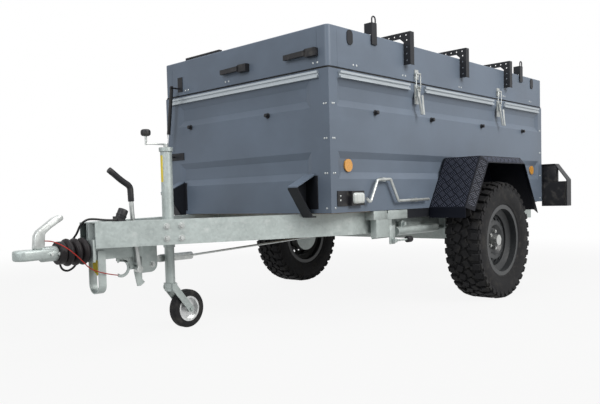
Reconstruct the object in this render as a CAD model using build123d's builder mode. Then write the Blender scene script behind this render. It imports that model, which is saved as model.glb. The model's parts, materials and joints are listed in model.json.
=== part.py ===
"""Off-road camper trailer: one STEP file for each node, all in one frame.

X points forward to the coupling, Y to the left, Z up from the ground.
Lengths are in millimetres.
"""
from build123d import *
import os
from math import atan, atan2, cos, degrees, hypot, sin, tan

os.makedirs("parts", exist_ok=True)

# Overall layout, measured from the wheel axis
TIP_AHEAD = 2724.0
TAIL_BEHIND = 1330.0
AXLE_X = (TAIL_BEHIND - TIP_AHEAD) / 2

# Radial clearance of every pin, stub and rod in its hole
RUNNING = 0.1

# Wheels and tyres
TYRE_RADIUS = 365.0
TYRE_WIDTH = 225.0
WHEEL_Y = 814.5
BEAD_RADIUS = 203.0
RIM_FLANGE = 221.0
RIM_HALF = 95.0
RIM_SHEET = 7.0
WELL_RADIUS = 168.0
DISC_OUT = 25.0
DISC_SHEET = 8.0
VENT_COUNT = 16
VENT_RADIUS = 11.0
VENT_RING = 132.0
LUG_COUNT = 5
LUG_RING = 56.0
STUB_RADIUS = 20.0
DRUM_RADIUS = 118.0
DRUM_IN = 726.0
DRUM_OUT = 785.0

# Box
BOX_FRONT = AXLE_X + 1387.0
BOX_REAR = AXLE_X - 1245.0
BOX_HALF = 660.0
BOX_MID = (BOX_FRONT + BOX_REAR) / 2
BOX_LENGTH = BOX_FRONT - BOX_REAR
WALL = 28.0
WALL_BOTTOM = 583.0
WALL_TOP = 1308.0
FLOOR_THICK = 24.0
GROOVE_DEPTH = 14.0
GROOVE_HEIGHT = 141.0
GROOVE_RUN = 36.0
END_MARGIN = 122.0
SIDE_MARGIN = 64.0
GROOVE_CENTRES = (825.0, 1191.0)
RAIL_BOTTOM = 1263.0
RAIL_HEIGHT = 35.0
RAIL_OUT = 16.0
RAIL_SLOT = 12.0
RAIL_SLOT_DEEP = 9.0

# Lid
SEAL = 9.0
SEAL_INSET = 4.0
SEAL_WIDTH = 18.0
LID_BOTTOM = WALL_TOP + SEAL + 0.5
LID_TOP = 1522.0
LID_SHEET = 20.0
CORNER_LEG = 72.0
CORNER_ROUND = 24.0
SEAM = 1.0
HINGE_OUT = 10.0
HINGE_Y = -(BOX_HALF + HINGE_OUT)
HINGE_Z = WALL_TOP + SEAL / 2
KNUCKLE = 8.0
HINGE_PIN = 4.0
HINGE_LEAF = 4.0
BREAKS = (AXLE_X + 577.0, AXLE_X - 486.0)
BREAK_LENGTH = 172.0

# Drawbar and chassis
BEAM_TOP = 579.0
BEAM_HEIGHT = 120.0
BEAM_WIDTH = 60.0
BEAM_SHEET = 4.0
BEAM_BOTTOM = BEAM_TOP - BEAM_HEIGHT
BEAM_FRONT = AXLE_X + 2366.0
BEAM_FRONT_Y = 69.0
BEAM_ANGLE = 23.33
RAIL_SIDE = 600.0
BEAM_REAR = AXLE_X - 1180.0
AXLE_AHEAD = 170.0
AXLE_TUBE = 80.0
AXLE_HALF = 664.0
ARM_THICK = 26.0

# Jack and nose wheel
JACK_X = AXLE_X + 1900.0
JACK_TOP = 940.0
JACK_BOTTOM = 430.0
JACK_RADIUS = 30.0
LEG_RADIUS = 25.0
NOSE_RADIUS = 100.0
NOSE_WIDTH = 52.0
NOSE_TRAIL = 100.0
FORK_TOP = 245.0

# Coupling
SHAFT_Z = 448.0
SOCKET_RADIUS = 25.2
HEAD_RADIUS = 46.0
SOCKET_X = AXLE_X + TIP_AHEAD - HEAD_RADIUS

# Lid struts, in the plane of each end wall
STRUT_OUT = 60.0
STRUT_TOP = (-522.0, 1359.0)
STRUT_LOW = (-590.0, 940.0)
STRUT_PIN = 5.0
STRUT_BARREL = 11.0
STRUT_ROD = 5.0
STRUT_GAP = 0.4

# Corner steadies
STEADY_X = AXLE_X + 710.0
STEADY_Z = 500.0
STEADY_Y = 630.0
STEADY_TUBE = 25.0
STEADY_DROP = 41.0
STEADY_FOOT = AXLE_X + 245.0


def save(builder, name):
    """Label a finished node and write its STEP file."""
    builder.part.label = name
    export_step(builder.part, f"parts/{name}.step")


def side_plane(x, y, z, sign=1):
    """Plane facing out of a side, its own x along X and its y up."""
    return Plane(origin=(x, y, z), x_dir=(-sign, 0, 0), z_dir=(0, sign, 0))


def end_plane(x, y, z, sign=1):
    """Plane facing forward or back, its own x along Y and its y up."""
    return Plane(origin=(x, y, z), x_dir=(0, sign, 0), z_dir=(sign, 0, 0))


# Drawbar beams, bent to run on as the chassis rails
beam_slope = tan(BEAM_ANGLE * 3.14159265 / 180)
beam_skew = BEAM_WIDTH / cos(BEAM_ANGLE * 3.14159265 / 180)
bend_x = BEAM_FRONT - (RAIL_SIDE - BEAM_FRONT_Y) / beam_slope
inner_y = BEAM_FRONT_Y - beam_skew
rail_in = RAIL_SIDE - BEAM_WIDTH
bend_in_x = BEAM_FRONT - (rail_in - inner_y) / beam_slope
with BuildPart() as drawbar_beams:
    with BuildSketch(Plane.XY.offset(BEAM_BOTTOM)):
        with BuildLine():
            Polyline(
                (BEAM_FRONT, BEAM_FRONT_Y),
                (bend_x, RAIL_SIDE),
                (BEAM_REAR, RAIL_SIDE),
                (BEAM_REAR, rail_in),
                (bend_in_x, rail_in),
                (BEAM_FRONT, inner_y),
                close=True,
            )
        make_face()
    extrude(amount=BEAM_HEIGHT)
    bore_len = 500.0
    with BuildSketch(Plane.XY.offset(BEAM_BOTTOM + BEAM_SHEET)):
        with BuildLine():
            skin = BEAM_SHEET / cos(BEAM_ANGLE * 3.14159265 / 180)
            Polyline(
                (BEAM_FRONT + 1, BEAM_FRONT_Y - skin - beam_slope),
                (BEAM_FRONT - bore_len, BEAM_FRONT_Y - skin + bore_len * beam_slope),
                (BEAM_FRONT - bore_len, inner_y + skin + bore_len * beam_slope),
                (BEAM_FRONT + 1, inner_y + skin - beam_slope),
                close=True,
            )
        make_face()
    extrude(amount=BEAM_HEIGHT - 2 * BEAM_SHEET, mode=Mode.SUBTRACT)
    mirror(about=Plane.XZ)
save(drawbar_beams, "drawbar_beams")

# Cross-members between the rails and the plate that carries the jack
CROSS_HEIGHT = 60.0
CROSS_DEPTH = 60.0
CROSS_AHEAD = (1050.0, 480.0, -380.0, -1130.0)
with BuildPart() as cross_members:
    for ahead in CROSS_AHEAD:
        with Locations((AXLE_X + ahead, 0, BEAM_TOP - CROSS_HEIGHT / 2)):
            Box(CROSS_DEPTH, 2 * rail_in - 0.4, CROSS_HEIGHT)
save(cross_members, "cross_members")

JACK_PLATE = 130.0
with BuildPart() as jack_clamp:
    front_x = JACK_X + JACK_PLATE / 2
    back_x = JACK_X - JACK_PLATE / 2
    front_y = inner_y + (BEAM_FRONT - front_x) * beam_slope - 0.2
    back_y = inner_y + (BEAM_FRONT - back_x) * beam_slope - 0.2
    with BuildSketch(Plane.XY.offset(BEAM_BOTTOM + 25)):
        with BuildLine():
            Polyline(
                (front_x, front_y),
                (back_x, back_y),
                (back_x, -back_y),
                (front_x, -front_y),
                close=True,
            )
        make_face()
    extrude(amount=70)
    with Locations((JACK_X, 0, BEAM_BOTTOM + 45)):
        Cylinder(JACK_RADIUS + 8, 110)
        Cylinder(JACK_RADIUS + 0.2, 200, mode=Mode.SUBTRACT)
save(jack_clamp, "jack_clamp")

# Floor and walls
with BuildPart() as box_floor:
    with Locations((BOX_MID, 0, BEAM_TOP + FLOOR_THICK / 2)):
        Box(BOX_LENGTH - 2 * WALL, 2 * (BOX_HALF - WALL), FLOOR_THICK)
save(box_floor, "box_floor")

wall_mid_z = (WALL_BOTTOM + WALL_TOP) / 2
wall_tall = WALL_TOP - WALL_BOTTOM
with BuildPart() as end_walls:
    for face_x, sign in ((BOX_FRONT, 1), (BOX_REAR, -1)):
        with Locations((face_x - sign * WALL / 2, 0, wall_mid_z)):
            Box(WALL, 2 * (BOX_HALF - WALL), wall_tall)
        for groove_z in GROOVE_CENTRES:
            groove_long = 2 * (BOX_HALF - END_MARGIN)
            with BuildSketch(end_plane(face_x, 0, groove_z, sign)):
                Rectangle(groove_long, GROOVE_HEIGHT)
            with BuildSketch(end_plane(face_x - sign * GROOVE_DEPTH, 0, groove_z, sign)):
                Rectangle(groove_long - 2 * GROOVE_RUN, GROOVE_HEIGHT - 2 * GROOVE_RUN)
            loft(mode=Mode.SUBTRACT)
save(end_walls, "end_walls")

with BuildPart() as side_walls:
    for sign in (1, -1):
        with Locations((BOX_MID, sign * (BOX_HALF - WALL / 2), wall_mid_z)):
            Box(BOX_LENGTH, WALL, wall_tall)
        for groove_z in GROOVE_CENTRES:
            groove_long = BOX_LENGTH - 2 * SIDE_MARGIN
            with BuildSketch(side_plane(BOX_MID, sign * BOX_HALF, groove_z, sign)):
                Rectangle(groove_long, GROOVE_HEIGHT)
            deep_y = sign * (BOX_HALF - GROOVE_DEPTH)
            with BuildSketch(side_plane(BOX_MID, deep_y, groove_z, sign)):
                Rectangle(groove_long - 2 * GROOVE_RUN, GROOVE_HEIGHT - 2 * GROOVE_RUN)
            loft(mode=Mode.SUBTRACT)
save(side_walls, "side_walls")

# Slotted tie-down rails, broken on the sides for latches and hinges
rail_mid_z = RAIL_BOTTOM + RAIL_HEIGHT / 2
side_start = BOX_FRONT - 78.0
side_end = BOX_REAR + 77.0
side_runs = (
    (side_start, BREAKS[0] + BREAK_LENGTH / 2),
    (BREAKS[0] - BREAK_LENGTH / 2, BREAKS[1] + BREAK_LENGTH / 2),
    (BREAKS[1] - BREAK_LENGTH / 2, side_end),
)
END_RAIL = 1196.0
with BuildPart() as tie_down_rails:
    for sign in (1, -1):
        for start, stop in side_runs:
            mid = (start + stop) / 2
            with Locations((mid, sign * (BOX_HALF + RAIL_OUT / 2), rail_mid_z)):
                Box(start - stop, RAIL_OUT, RAIL_HEIGHT)
            slot_y = sign * (BOX_HALF + RAIL_OUT - RAIL_SLOT_DEEP / 2)
            with Locations((mid, slot_y, rail_mid_z)):
                Box(start - stop, RAIL_SLOT_DEEP, RAIL_SLOT, mode=Mode.SUBTRACT)
    for face_x, sign in ((BOX_FRONT, 1), (BOX_REAR, -1)):
        with Locations((face_x + sign * RAIL_OUT / 2, 0, rail_mid_z)):
            Box(RAIL_OUT, END_RAIL, RAIL_HEIGHT)
        slot_x = face_x + sign * (RAIL_OUT - RAIL_SLOT_DEEP / 2)
        with Locations((slot_x, 0, rail_mid_z)):
            Box(RAIL_SLOT_DEEP, END_RAIL, RAIL_SLOT, mode=Mode.SUBTRACT)
save(tie_down_rails, "tie_down_rails")

with BuildPart() as lid_seal:
    with Locations((BOX_MID, 0, WALL_TOP + SEAL / 2)):
        seal_long = BOX_LENGTH - 2 * SEAL_INSET
        seal_wide = 2 * (BOX_HALF - SEAL_INSET)
        Box(seal_long, seal_wide, SEAL)
        Box(seal_long - 2 * SEAL_WIDTH, seal_wide - 2 * SEAL_WIDTH, SEAL, mode=Mode.SUBTRACT)
save(lid_seal, "lid_seal")

# Lid: roof on top of four skirts and four corner posts
skirt_tall = LID_TOP - LID_SHEET - LID_BOTTOM
skirt_mid_z = LID_BOTTOM + skirt_tall / 2
with BuildPart() as lid_roof:
    with Locations((BOX_MID, 0, LID_TOP - LID_SHEET / 2)):
        Box(BOX_LENGTH, 2 * BOX_HALF, LID_SHEET)
    fillet(lid_roof.edges().filter_by(Axis.Z), radius=CORNER_ROUND)
    fillet(lid_roof.faces().sort_by(Axis.Z)[-1].edges(), radius=6)
save(lid_roof, "lid_roof")

with BuildPart() as lid_skirts:
    for sign in (1, -1):
        with Locations((BOX_MID, sign * (BOX_HALF - LID_SHEET / 2), skirt_mid_z)):
            Box(BOX_LENGTH - 2 * (CORNER_LEG + SEAM), LID_SHEET, skirt_tall)
    for face_x, sign in ((BOX_FRONT, 1), (BOX_REAR, -1)):
        with Locations((face_x - sign * LID_SHEET / 2, 0, skirt_mid_z)):
            Box(LID_SHEET, 2 * (BOX_HALF - CORNER_LEG - SEAM), skirt_tall)
save(lid_skirts, "lid_skirts")

with BuildPart() as lid_corners:
    for face_x, sx in ((BOX_FRONT, 1), (BOX_REAR, -1)):
        for sy in (1, -1):
            corner = Plane(
                origin=(face_x, sy * BOX_HALF, LID_BOTTOM),
                x_dir=(-sx, 0, 0),
                z_dir=(0, 0, 1),
            )
            turn = sx * sy
            with BuildSketch(corner):
                with BuildLine():
                    inner = CORNER_LEG
                    skin = LID_SHEET
                    Polyline(
                        (CORNER_ROUND, 0),
                        (inner, 0),
                        (inner, turn * skin),
                        (skin, turn * skin),
                        (skin, turn * inner),
                        (0, turn * inner),
                        (0, turn * CORNER_ROUND),
                    )
                    rest = CORNER_ROUND * (1 - 0.70710678)
                    ThreePointArc(
                        (0, turn * CORNER_ROUND), (rest, turn * rest), (CORNER_ROUND, 0)
                    )
                make_face()
            extrude(amount=skirt_tall)
save(lid_corners, "lid_corners")

# Hinges on the right side: leaves and knuckles about one long axis
HINGE_HALF = 52.0
with BuildPart() as box_hinges:
    for hinge_x in BREAKS:
        with Locations((hinge_x, -(BOX_HALF + HINGE_LEAF / 2), HINGE_Z - KNUCKLE - 37)):
            Box(2 * HINGE_HALF, HINGE_LEAF, 72)
        for shift in (-36, 36):
            with Locations((hinge_x + shift, -(BOX_HALF + HINGE_LEAF / 2), HINGE_Z - 6)):
                Box(31, HINGE_LEAF, 9)
            with Locations(Location((hinge_x + shift, HINGE_Y, HINGE_Z), (0, 90, 0))):
                Cylinder(KNUCKLE, 31)
        with Locations(Location((hinge_x, HINGE_Y, HINGE_Z), (0, 90, 0))):
            Cylinder(HINGE_PIN, 2 * HINGE_HALF)
save(box_hinges, "box_hinges")

with BuildPart() as lid_hinges:
    for hinge_x in BREAKS:
        with Locations((hinge_x, -(BOX_HALF + HINGE_LEAF / 2), HINGE_Z + KNUCKLE + 37)):
            Box(2 * HINGE_HALF, HINGE_LEAF, 70)
        with Locations((hinge_x, -(BOX_HALF + HINGE_LEAF / 2), HINGE_Z + 6)):
            Box(38, HINGE_LEAF, 9)
        with Locations(Location((hinge_x, HINGE_Y, HINGE_Z), (0, 90, 0))):
            Cylinder(KNUCKLE, 38)
            Cylinder(HINGE_PIN + RUNNING, 40, mode=Mode.SUBTRACT)
save(lid_hinges, "lid_hinges")

# Over-centre latches on the left side
with BuildPart() as latches:
    for latch_x in BREAKS:
        with Locations((latch_x, BOX_HALF + 2, 1245)):
            Box(44, 4, 110)
        for shift in (-11, 11):
            with Locations((latch_x + shift, BOX_HALF + 11, 1262)):
                Box(4, 16, 60)
        with Locations(Location((latch_x, BOX_HALF + 15, 1270), (0, 90, 0))):
            Cylinder(4, 40)
        lever_plane = Plane((latch_x, BOX_HALF + 22, 1200), x_dir=(1, 0, 0), z_dir=(0, 1, 0.18))
        with Locations(lever_plane):
            Box(18, 150, 8)
save(latches, "latches")

with BuildPart() as latch_keepers:
    for latch_x in BREAKS:
        with Locations((latch_x, BOX_HALF + 2, 1360)):
            Box(40, 4, 56)
        with Locations((latch_x, BOX_HALF + 8, 1352)):
            Box(22, 10, 14)
        with Locations((latch_x, BOX_HALF + 15, 1364)):
            Box(50, 8, 8)
        with Locations((latch_x, BOX_HALF + 8, 1366)):
            Box(22, 12, 10)
        for shift in (-23, 23):
            with Locations((latch_x + shift, BOX_HALF + 15, 1322)):
                Cylinder(3.5, 86)
save(latch_keepers, "latch_keepers")

# Brackets along both top edges of the lid
L_AHEAD = (700.0, 48.0, -590.0)
L_BOTTOM = 1400.0
L_TOP = 1584.0
L_OUT = 40.0
L_REACH = 230.0
L_SHEET = 4.0
L_FLANGE = 40.0
L_ARM = 34.0
HOLE_RADIUS = 4.5
HOLE_PITCH = 38.0
TAB_AHEAD = (1210.0, -1059.0)
EYE_AHEAD = (1000.0, -863.0)
EYE_TOP = 1584.0
ROOF_BAR = 310.0
ROOF_BAR_Y = -311.0
with BuildPart() as lid_brackets:
    for sign in (1, -1):
        for ahead in L_AHEAD:
            web = end_plane(AXLE_X + ahead, 0, 0)
            out = sign * (BOX_HALF + L_OUT)
            skin = sign * BOX_HALF
            with BuildSketch(web):
                with BuildLine():
                    Polyline(
                        (skin, L_BOTTOM),
                        (out, L_BOTTOM),
                        (out, L_TOP),
                        (out - sign * L_REACH, L_TOP),
                        (out - sign * L_REACH, L_TOP - L_ARM),
                        (skin - sign * 24, L_TOP - L_ARM),
                        (skin, LID_TOP + 6),
                        close=True,
                    )
                make_face()
            extrude(amount=L_SHEET)
            with Locations((
                AXLE_X + ahead - L_FLANGE / 2 + L_SHEET,
                out + sign * L_SHEET / 2,
                (L_BOTTOM + L_TOP) / 2,
            )):
                Box(L_FLANGE, L_SHEET, L_TOP - L_BOTTOM)
            foot_y = out - sign * (L_REACH - 15)
            with Locations((AXLE_X + ahead - 15, foot_y, (LID_TOP + L_TOP - L_ARM) / 2)):
                Box(38, 30, L_TOP - L_ARM - LID_TOP)
            hole_z = [L_BOTTOM + 24 + HOLE_PITCH * k for k in range(4)]
            hole_y = [out - sign * (24 + HOLE_PITCH * k) for k in range(5)]
            spots = [(out - sign * 20, z) for z in hole_z]
            spots += [(y, L_TOP - L_ARM / 2) for y in hole_y]
            with BuildSketch(web):
                with Locations(*spots):
                    Circle(HOLE_RADIUS)
            extrude(amount=L_SHEET, mode=Mode.SUBTRACT)
    for sign in (1, -1):
        face_y = sign * BOX_HALF
        for ahead in TAB_AHEAD:
            with BuildSketch(side_plane(AXLE_X + ahead, face_y, 1478, sign)):
                SlotOverall(78, 48, rotation=90)
            extrude(amount=4)
        for ahead in EYE_AHEAD:
            with Locations((AXLE_X + ahead, face_y + sign * 4.5, 1528)):
                Box(46, 9, 116)
            with Locations((AXLE_X + ahead + 21, face_y - sign * 16, 1555)):
                Box(4, 50, 62)
            with Locations((AXLE_X + ahead + 21, face_y - sign * 20, LID_TOP - 8)):
                Box(6, 40, 16, mode=Mode.SUBTRACT)
            bow = Plane((AXLE_X + ahead, face_y + sign * 4.5, EYE_TOP), x_dir=(1, 0, 0), z_dir=(0, -1, 0))
            with BuildLine(bow):
                Line((-16, 0), (-16, 20))
                ThreePointArc((-16, 20), (0, 36), (16, 20))
                Line((16, 20), (16, 0))
            with BuildSketch(Plane(origin=(AXLE_X + ahead - 16, face_y + sign * 4.5, EYE_TOP))):
                Circle(4)
            sweep()
    with Locations((BOX_FRONT - 24, ROOF_BAR_Y, LID_TOP + 12)):
        Box(24, ROOF_BAR, 8)
    for shift in (12 - ROOF_BAR / 2, ROOF_BAR / 2 - 12):
        with Locations((BOX_FRONT - 24, ROOF_BAR_Y + shift, LID_TOP + 4)):
            Box(24, 24, 8)
save(lid_brackets, "lid_brackets")

# Lever handles on the front of the lid
HANDLE_BOSS = (70.0, 564.0)
with BuildPart() as lid_handles:
    for boss_y in HANDLE_BOSS:
        with Locations((BOX_FRONT + 16, boss_y, 1392)):
            Box(32, 66, 40)
        with BuildSketch(Plane(origin=(BOX_FRONT, 0, 1392), z_dir=(0, 0, 1)).offset(-13)):
            with BuildLine():
                Polyline(
                    (20, boss_y - 30),
                    (38, boss_y - 30),
                    (28, boss_y - 182),
                    (10, boss_y - 182),
                    close=True,
                )
            make_face()
        extrude(amount=26)
save(lid_handles, "lid_handles")

# Strut brackets: a foot plate, a pin and its head
with BuildPart() as strut_feet_lid:
    for face_x, sign in ((BOX_FRONT, 1), (BOX_REAR, -1)):
        with Locations((face_x + sign * 2, STRUT_TOP[0] + 12, 1382)):
            Box(4, 44, 88)
        with Locations(Location((face_x + sign * 34, *STRUT_TOP), (0, 90, 0))):
            Cylinder(STRUT_PIN, 68)
        with Locations(Location((face_x + sign * (STRUT_OUT + 8), *STRUT_TOP), (0, 90, 0))):
            Cylinder(STRUT_PIN + 3, 3)
save(strut_feet_lid, "strut_feet_lid")

with BuildPart() as strut_feet_box:
    for face_x, sign in ((BOX_FRONT, 1), (BOX_REAR, -1)):
        with Locations((face_x + sign * 2, STRUT_LOW[0] + 35, STRUT_LOW[1])):
            Box(4, 120, 44)
        with Locations(Location((face_x + sign * 34, *STRUT_LOW), (0, 90, 0))):
            Cylinder(STRUT_PIN, 68)
save(strut_feet_box, "strut_feet_box")

strut_dy = STRUT_LOW[0] - STRUT_TOP[0]
strut_dz = STRUT_LOW[1] - STRUT_TOP[1]
strut_long = hypot(strut_dy, strut_dz)
BARREL_LONG = 285.0
ROD_INSIDE = 190.0
for end_name, face_x, sign in (("front", BOX_FRONT, 1), ("rear", BOX_REAR, -1)):
    strut_plane = Plane(
        origin=(face_x + sign * STRUT_OUT, *STRUT_TOP),
        x_dir=(1, 0, 0),
        z_dir=(0, strut_dy, strut_dz),
    )
    with BuildPart() as strut_barrel:
        with Locations(Location((face_x + sign * STRUT_OUT, *STRUT_TOP), (0, 90, 0))):
            Cylinder(STRUT_PIN + 7, 10)
        with BuildSketch(strut_plane.offset(9)):
            Circle(STRUT_BARREL)
        extrude(amount=BARREL_LONG - 9)
        with BuildSketch(strut_plane.offset(30)):
            Circle(STRUT_ROD + RUNNING)
        extrude(amount=BARREL_LONG, mode=Mode.SUBTRACT)
        with Locations(Location((face_x + sign * STRUT_OUT, *STRUT_TOP), (0, 90, 0))):
            Cylinder(STRUT_PIN + RUNNING, 12, mode=Mode.SUBTRACT)
    save(strut_barrel, f"strut_barrel_{end_name}")
    with BuildPart() as strut_rod:
        with BuildSketch(strut_plane.offset(BARREL_LONG - ROD_INSIDE)):
            Circle(STRUT_ROD)
        extrude(amount=strut_long - STRUT_PIN - STRUT_GAP - BARREL_LONG + ROD_INSIDE)
        with BuildSketch(strut_plane.offset(strut_long - STRUT_PIN - STRUT_GAP - 20)):
            Circle(STRUT_ROD + 3)
        extrude(amount=20)
    save(strut_rod, f"strut_rod_{end_name}")

# Gussets between the front wall and the beams
GUSSET_TIP = 150.0
with BuildPart() as front_gussets:
    for sign in (1, -1):
        with BuildSketch(Plane(origin=(BOX_FRONT, sign * 527.5, 0), x_dir=(1, 0, 0), z_dir=(0, -1, 0))):
            with BuildLine():
                Polyline((20, 536), (0, 536), (0, 764), (GUSSET_TIP, 712), (GUSSET_TIP, 700))
                ThreePointArc((GUSSET_TIP, 700), (62, 640), (20, 536))
            make_face()
        extrude(amount=32.5, both=True)
save(front_gussets, "front_gussets")

# Fenders: folded sheet with a sloping outer edge and a plate on the box side
FENDER_OUT = 935.0
FENDER_SHEET = 3.0
FENDER_SLOPE = 42.0
FENDER_TOP = 885.0
fender_points = (
    (AXLE_X + 455, 523),
    (AXLE_X + 455, 583),
    (AXLE_X + 262, FENDER_TOP),
    (AXLE_X - 300, FENDER_TOP),
    (AXLE_X - 520, 540),
)
fender_deep = FENDER_OUT - BOX_HALF
with BuildPart() as fenders:
    with BuildSketch(side_plane(0, BOX_HALF, 0)):
        with BuildLine():
            Polyline(*[(-x, z) for x, z in fender_points], close=True)
        make_face()
    extrude(amount=fender_deep)
    rims = fenders.edges().filter_by(lambda e: abs(e.center().Y - FENDER_OUT) < 0.1)
    chamfer(rims.sort_by(Axis.Z)[1:], length=FENDER_SLOPE)
    with BuildPart(mode=Mode.PRIVATE) as hollow:
        with BuildSketch(side_plane(0, BOX_HALF + FENDER_SHEET, 0)):
            with BuildLine():
                Polyline(*[(-x, z) for x, z in fender_points], close=True)
            make_face()
            offset(amount=-FENDER_SHEET, kind=Kind.INTERSECTION)
        extrude(amount=fender_deep)
        cave = hollow.edges().filter_by(lambda e: abs(e.center().Y - FENDER_OUT - FENDER_SHEET) < 0.1)
        chamfer(cave.sort_by(Axis.Z)[1:], length=FENDER_SLOPE)
        low = hollow.faces().sort_by(Axis.Z)[0]
        extrude(low, amount=30, dir=(0, 0, -1))
    add(hollow.part, mode=Mode.SUBTRACT)
    mirror(about=Plane.XZ)
save(fenders, "fenders")

# Rear lamp frames, lamps, marker lamps and reflectors
FRAME_OUT = 852.0
FRAME_DEEP = TAIL_BEHIND - 1245.0
with BuildPart() as lamp_frames:
    for sign in (1, -1):
        with BuildSketch(end_plane(BOX_REAR, 0, 0, -1)):
            with BuildLine():
                Polyline(
                    (-sign * BOX_HALF, 545),
                    (-sign * FRAME_OUT, 545),
                    (-sign * FRAME_OUT, 747),
                    (-sign * 761, 872),
                    (-sign * BOX_HALF, 872),
                    close=True,
                )
            make_face()
            offset(amount=-6, kind=Kind.INTERSECTION, mode=Mode.SUBTRACT)
        extrude(amount=FRAME_DEEP)
save(lamp_frames, "lamp_frames")

with BuildPart() as lamp_housings:
    for sign in (1, -1):
        with Locations((BOX_REAR - 30, sign * 752, 643)):
            Box(44, 160, 184)
        with Locations((AXLE_X + 1294, sign * (BOX_HALF + 2), 655)):
            Box(92, 4, 78)
        with Locations((AXLE_X + 1194, sign * (BOX_HALF + 12), 655)):
            Box(108, 24, 76)
save(lamp_housings, "lamp_housings")

with BuildPart() as tail_lenses:
    for sign in (1, -1):
        with Locations((BOX_REAR - 58, sign * 752, 643)):
            Box(12, 150, 110)
save(tail_lenses, "tail_lenses")

with BuildPart() as marker_lenses:
    for sign in (1, -1):
        with Locations((AXLE_X + 1194, sign * (BOX_HALF + 32), 655)):
            Box(90, 16, 58)
save(marker_lenses, "marker_lenses")

with BuildPart() as reflectors:
    for sign in (1, -1):
        for ahead in (1230.0, -1074.0):
            mid_y = sign * (BOX_HALF - GROOVE_DEPTH + 4)
            with Locations(Location((AXLE_X + ahead, mid_y, GROOVE_CENTRES[0]), (90, 0, 0))):
                Cylinder(33, 8)
save(reflectors, "reflectors")

# Stored crank on its clips
CRANK_PATH = (
    (1124.0, 652.0),
    (1092.0, 628.0),
    (1022.0, 749.0),
    (899.0, 754.0),
    (824.0, 633.0),
    (503.0, 636.0),
)
CRANK_Y = BOX_HALF + 26.0
with BuildPart() as stored_crank:
    with BuildLine(side_plane(0, CRANK_Y, 0)):
        FilletPolyline(*[(-(AXLE_X + x), z) for x, z in CRANK_PATH], radius=16)
    start = Vector(AXLE_X + CRANK_PATH[0][0], CRANK_Y, CRANK_PATH[0][1])
    run = Vector(CRANK_PATH[1][0] - CRANK_PATH[0][0], 0, CRANK_PATH[1][1] - CRANK_PATH[0][1])
    with BuildSketch(Plane(origin=start, z_dir=run)):
        Circle(8)
    sweep()
    for x, z in ((960.0, 751.5), (640.0, 634.7)):
        with Locations((AXLE_X + x, BOX_HALF + 13, z)):
            Box(26, 26, 22)
save(stored_crank, "stored_crank")

# Axle tube, trailing arms with stub axles, and brake plates
axle_mid = (AXLE_X + AXLE_AHEAD, 0, BEAM_BOTTOM - AXLE_TUBE / 2)
with BuildPart() as axle_tube:
    with Locations(axle_mid):
        Box(AXLE_TUBE, 2 * AXLE_HALF, AXLE_TUBE)
save(axle_tube, "axle_tube")

with BuildPart() as trailing_arms:
    with BuildSketch(side_plane(0, AXLE_HALF, 0)):
        with Locations((-(AXLE_X + AXLE_AHEAD), axle_mid[2])):
            Circle(46)
        with Locations((-AXLE_X, TYRE_RADIUS)):
            Circle(36)
        make_hull()
    extrude(amount=ARM_THICK)
    with BuildSketch(side_plane(AXLE_X, AXLE_HALF + ARM_THICK, TYRE_RADIUS)):
        Circle(STUB_RADIUS)
    extrude(amount=105)
    with BuildSketch(side_plane(AXLE_X, DRUM_IN - 10, TYRE_RADIUS)):
        Circle(DRUM_RADIUS)
    extrude(amount=6)
    mirror(about=Plane.XZ)
save(trailing_arms, "trailing_arms")

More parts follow.
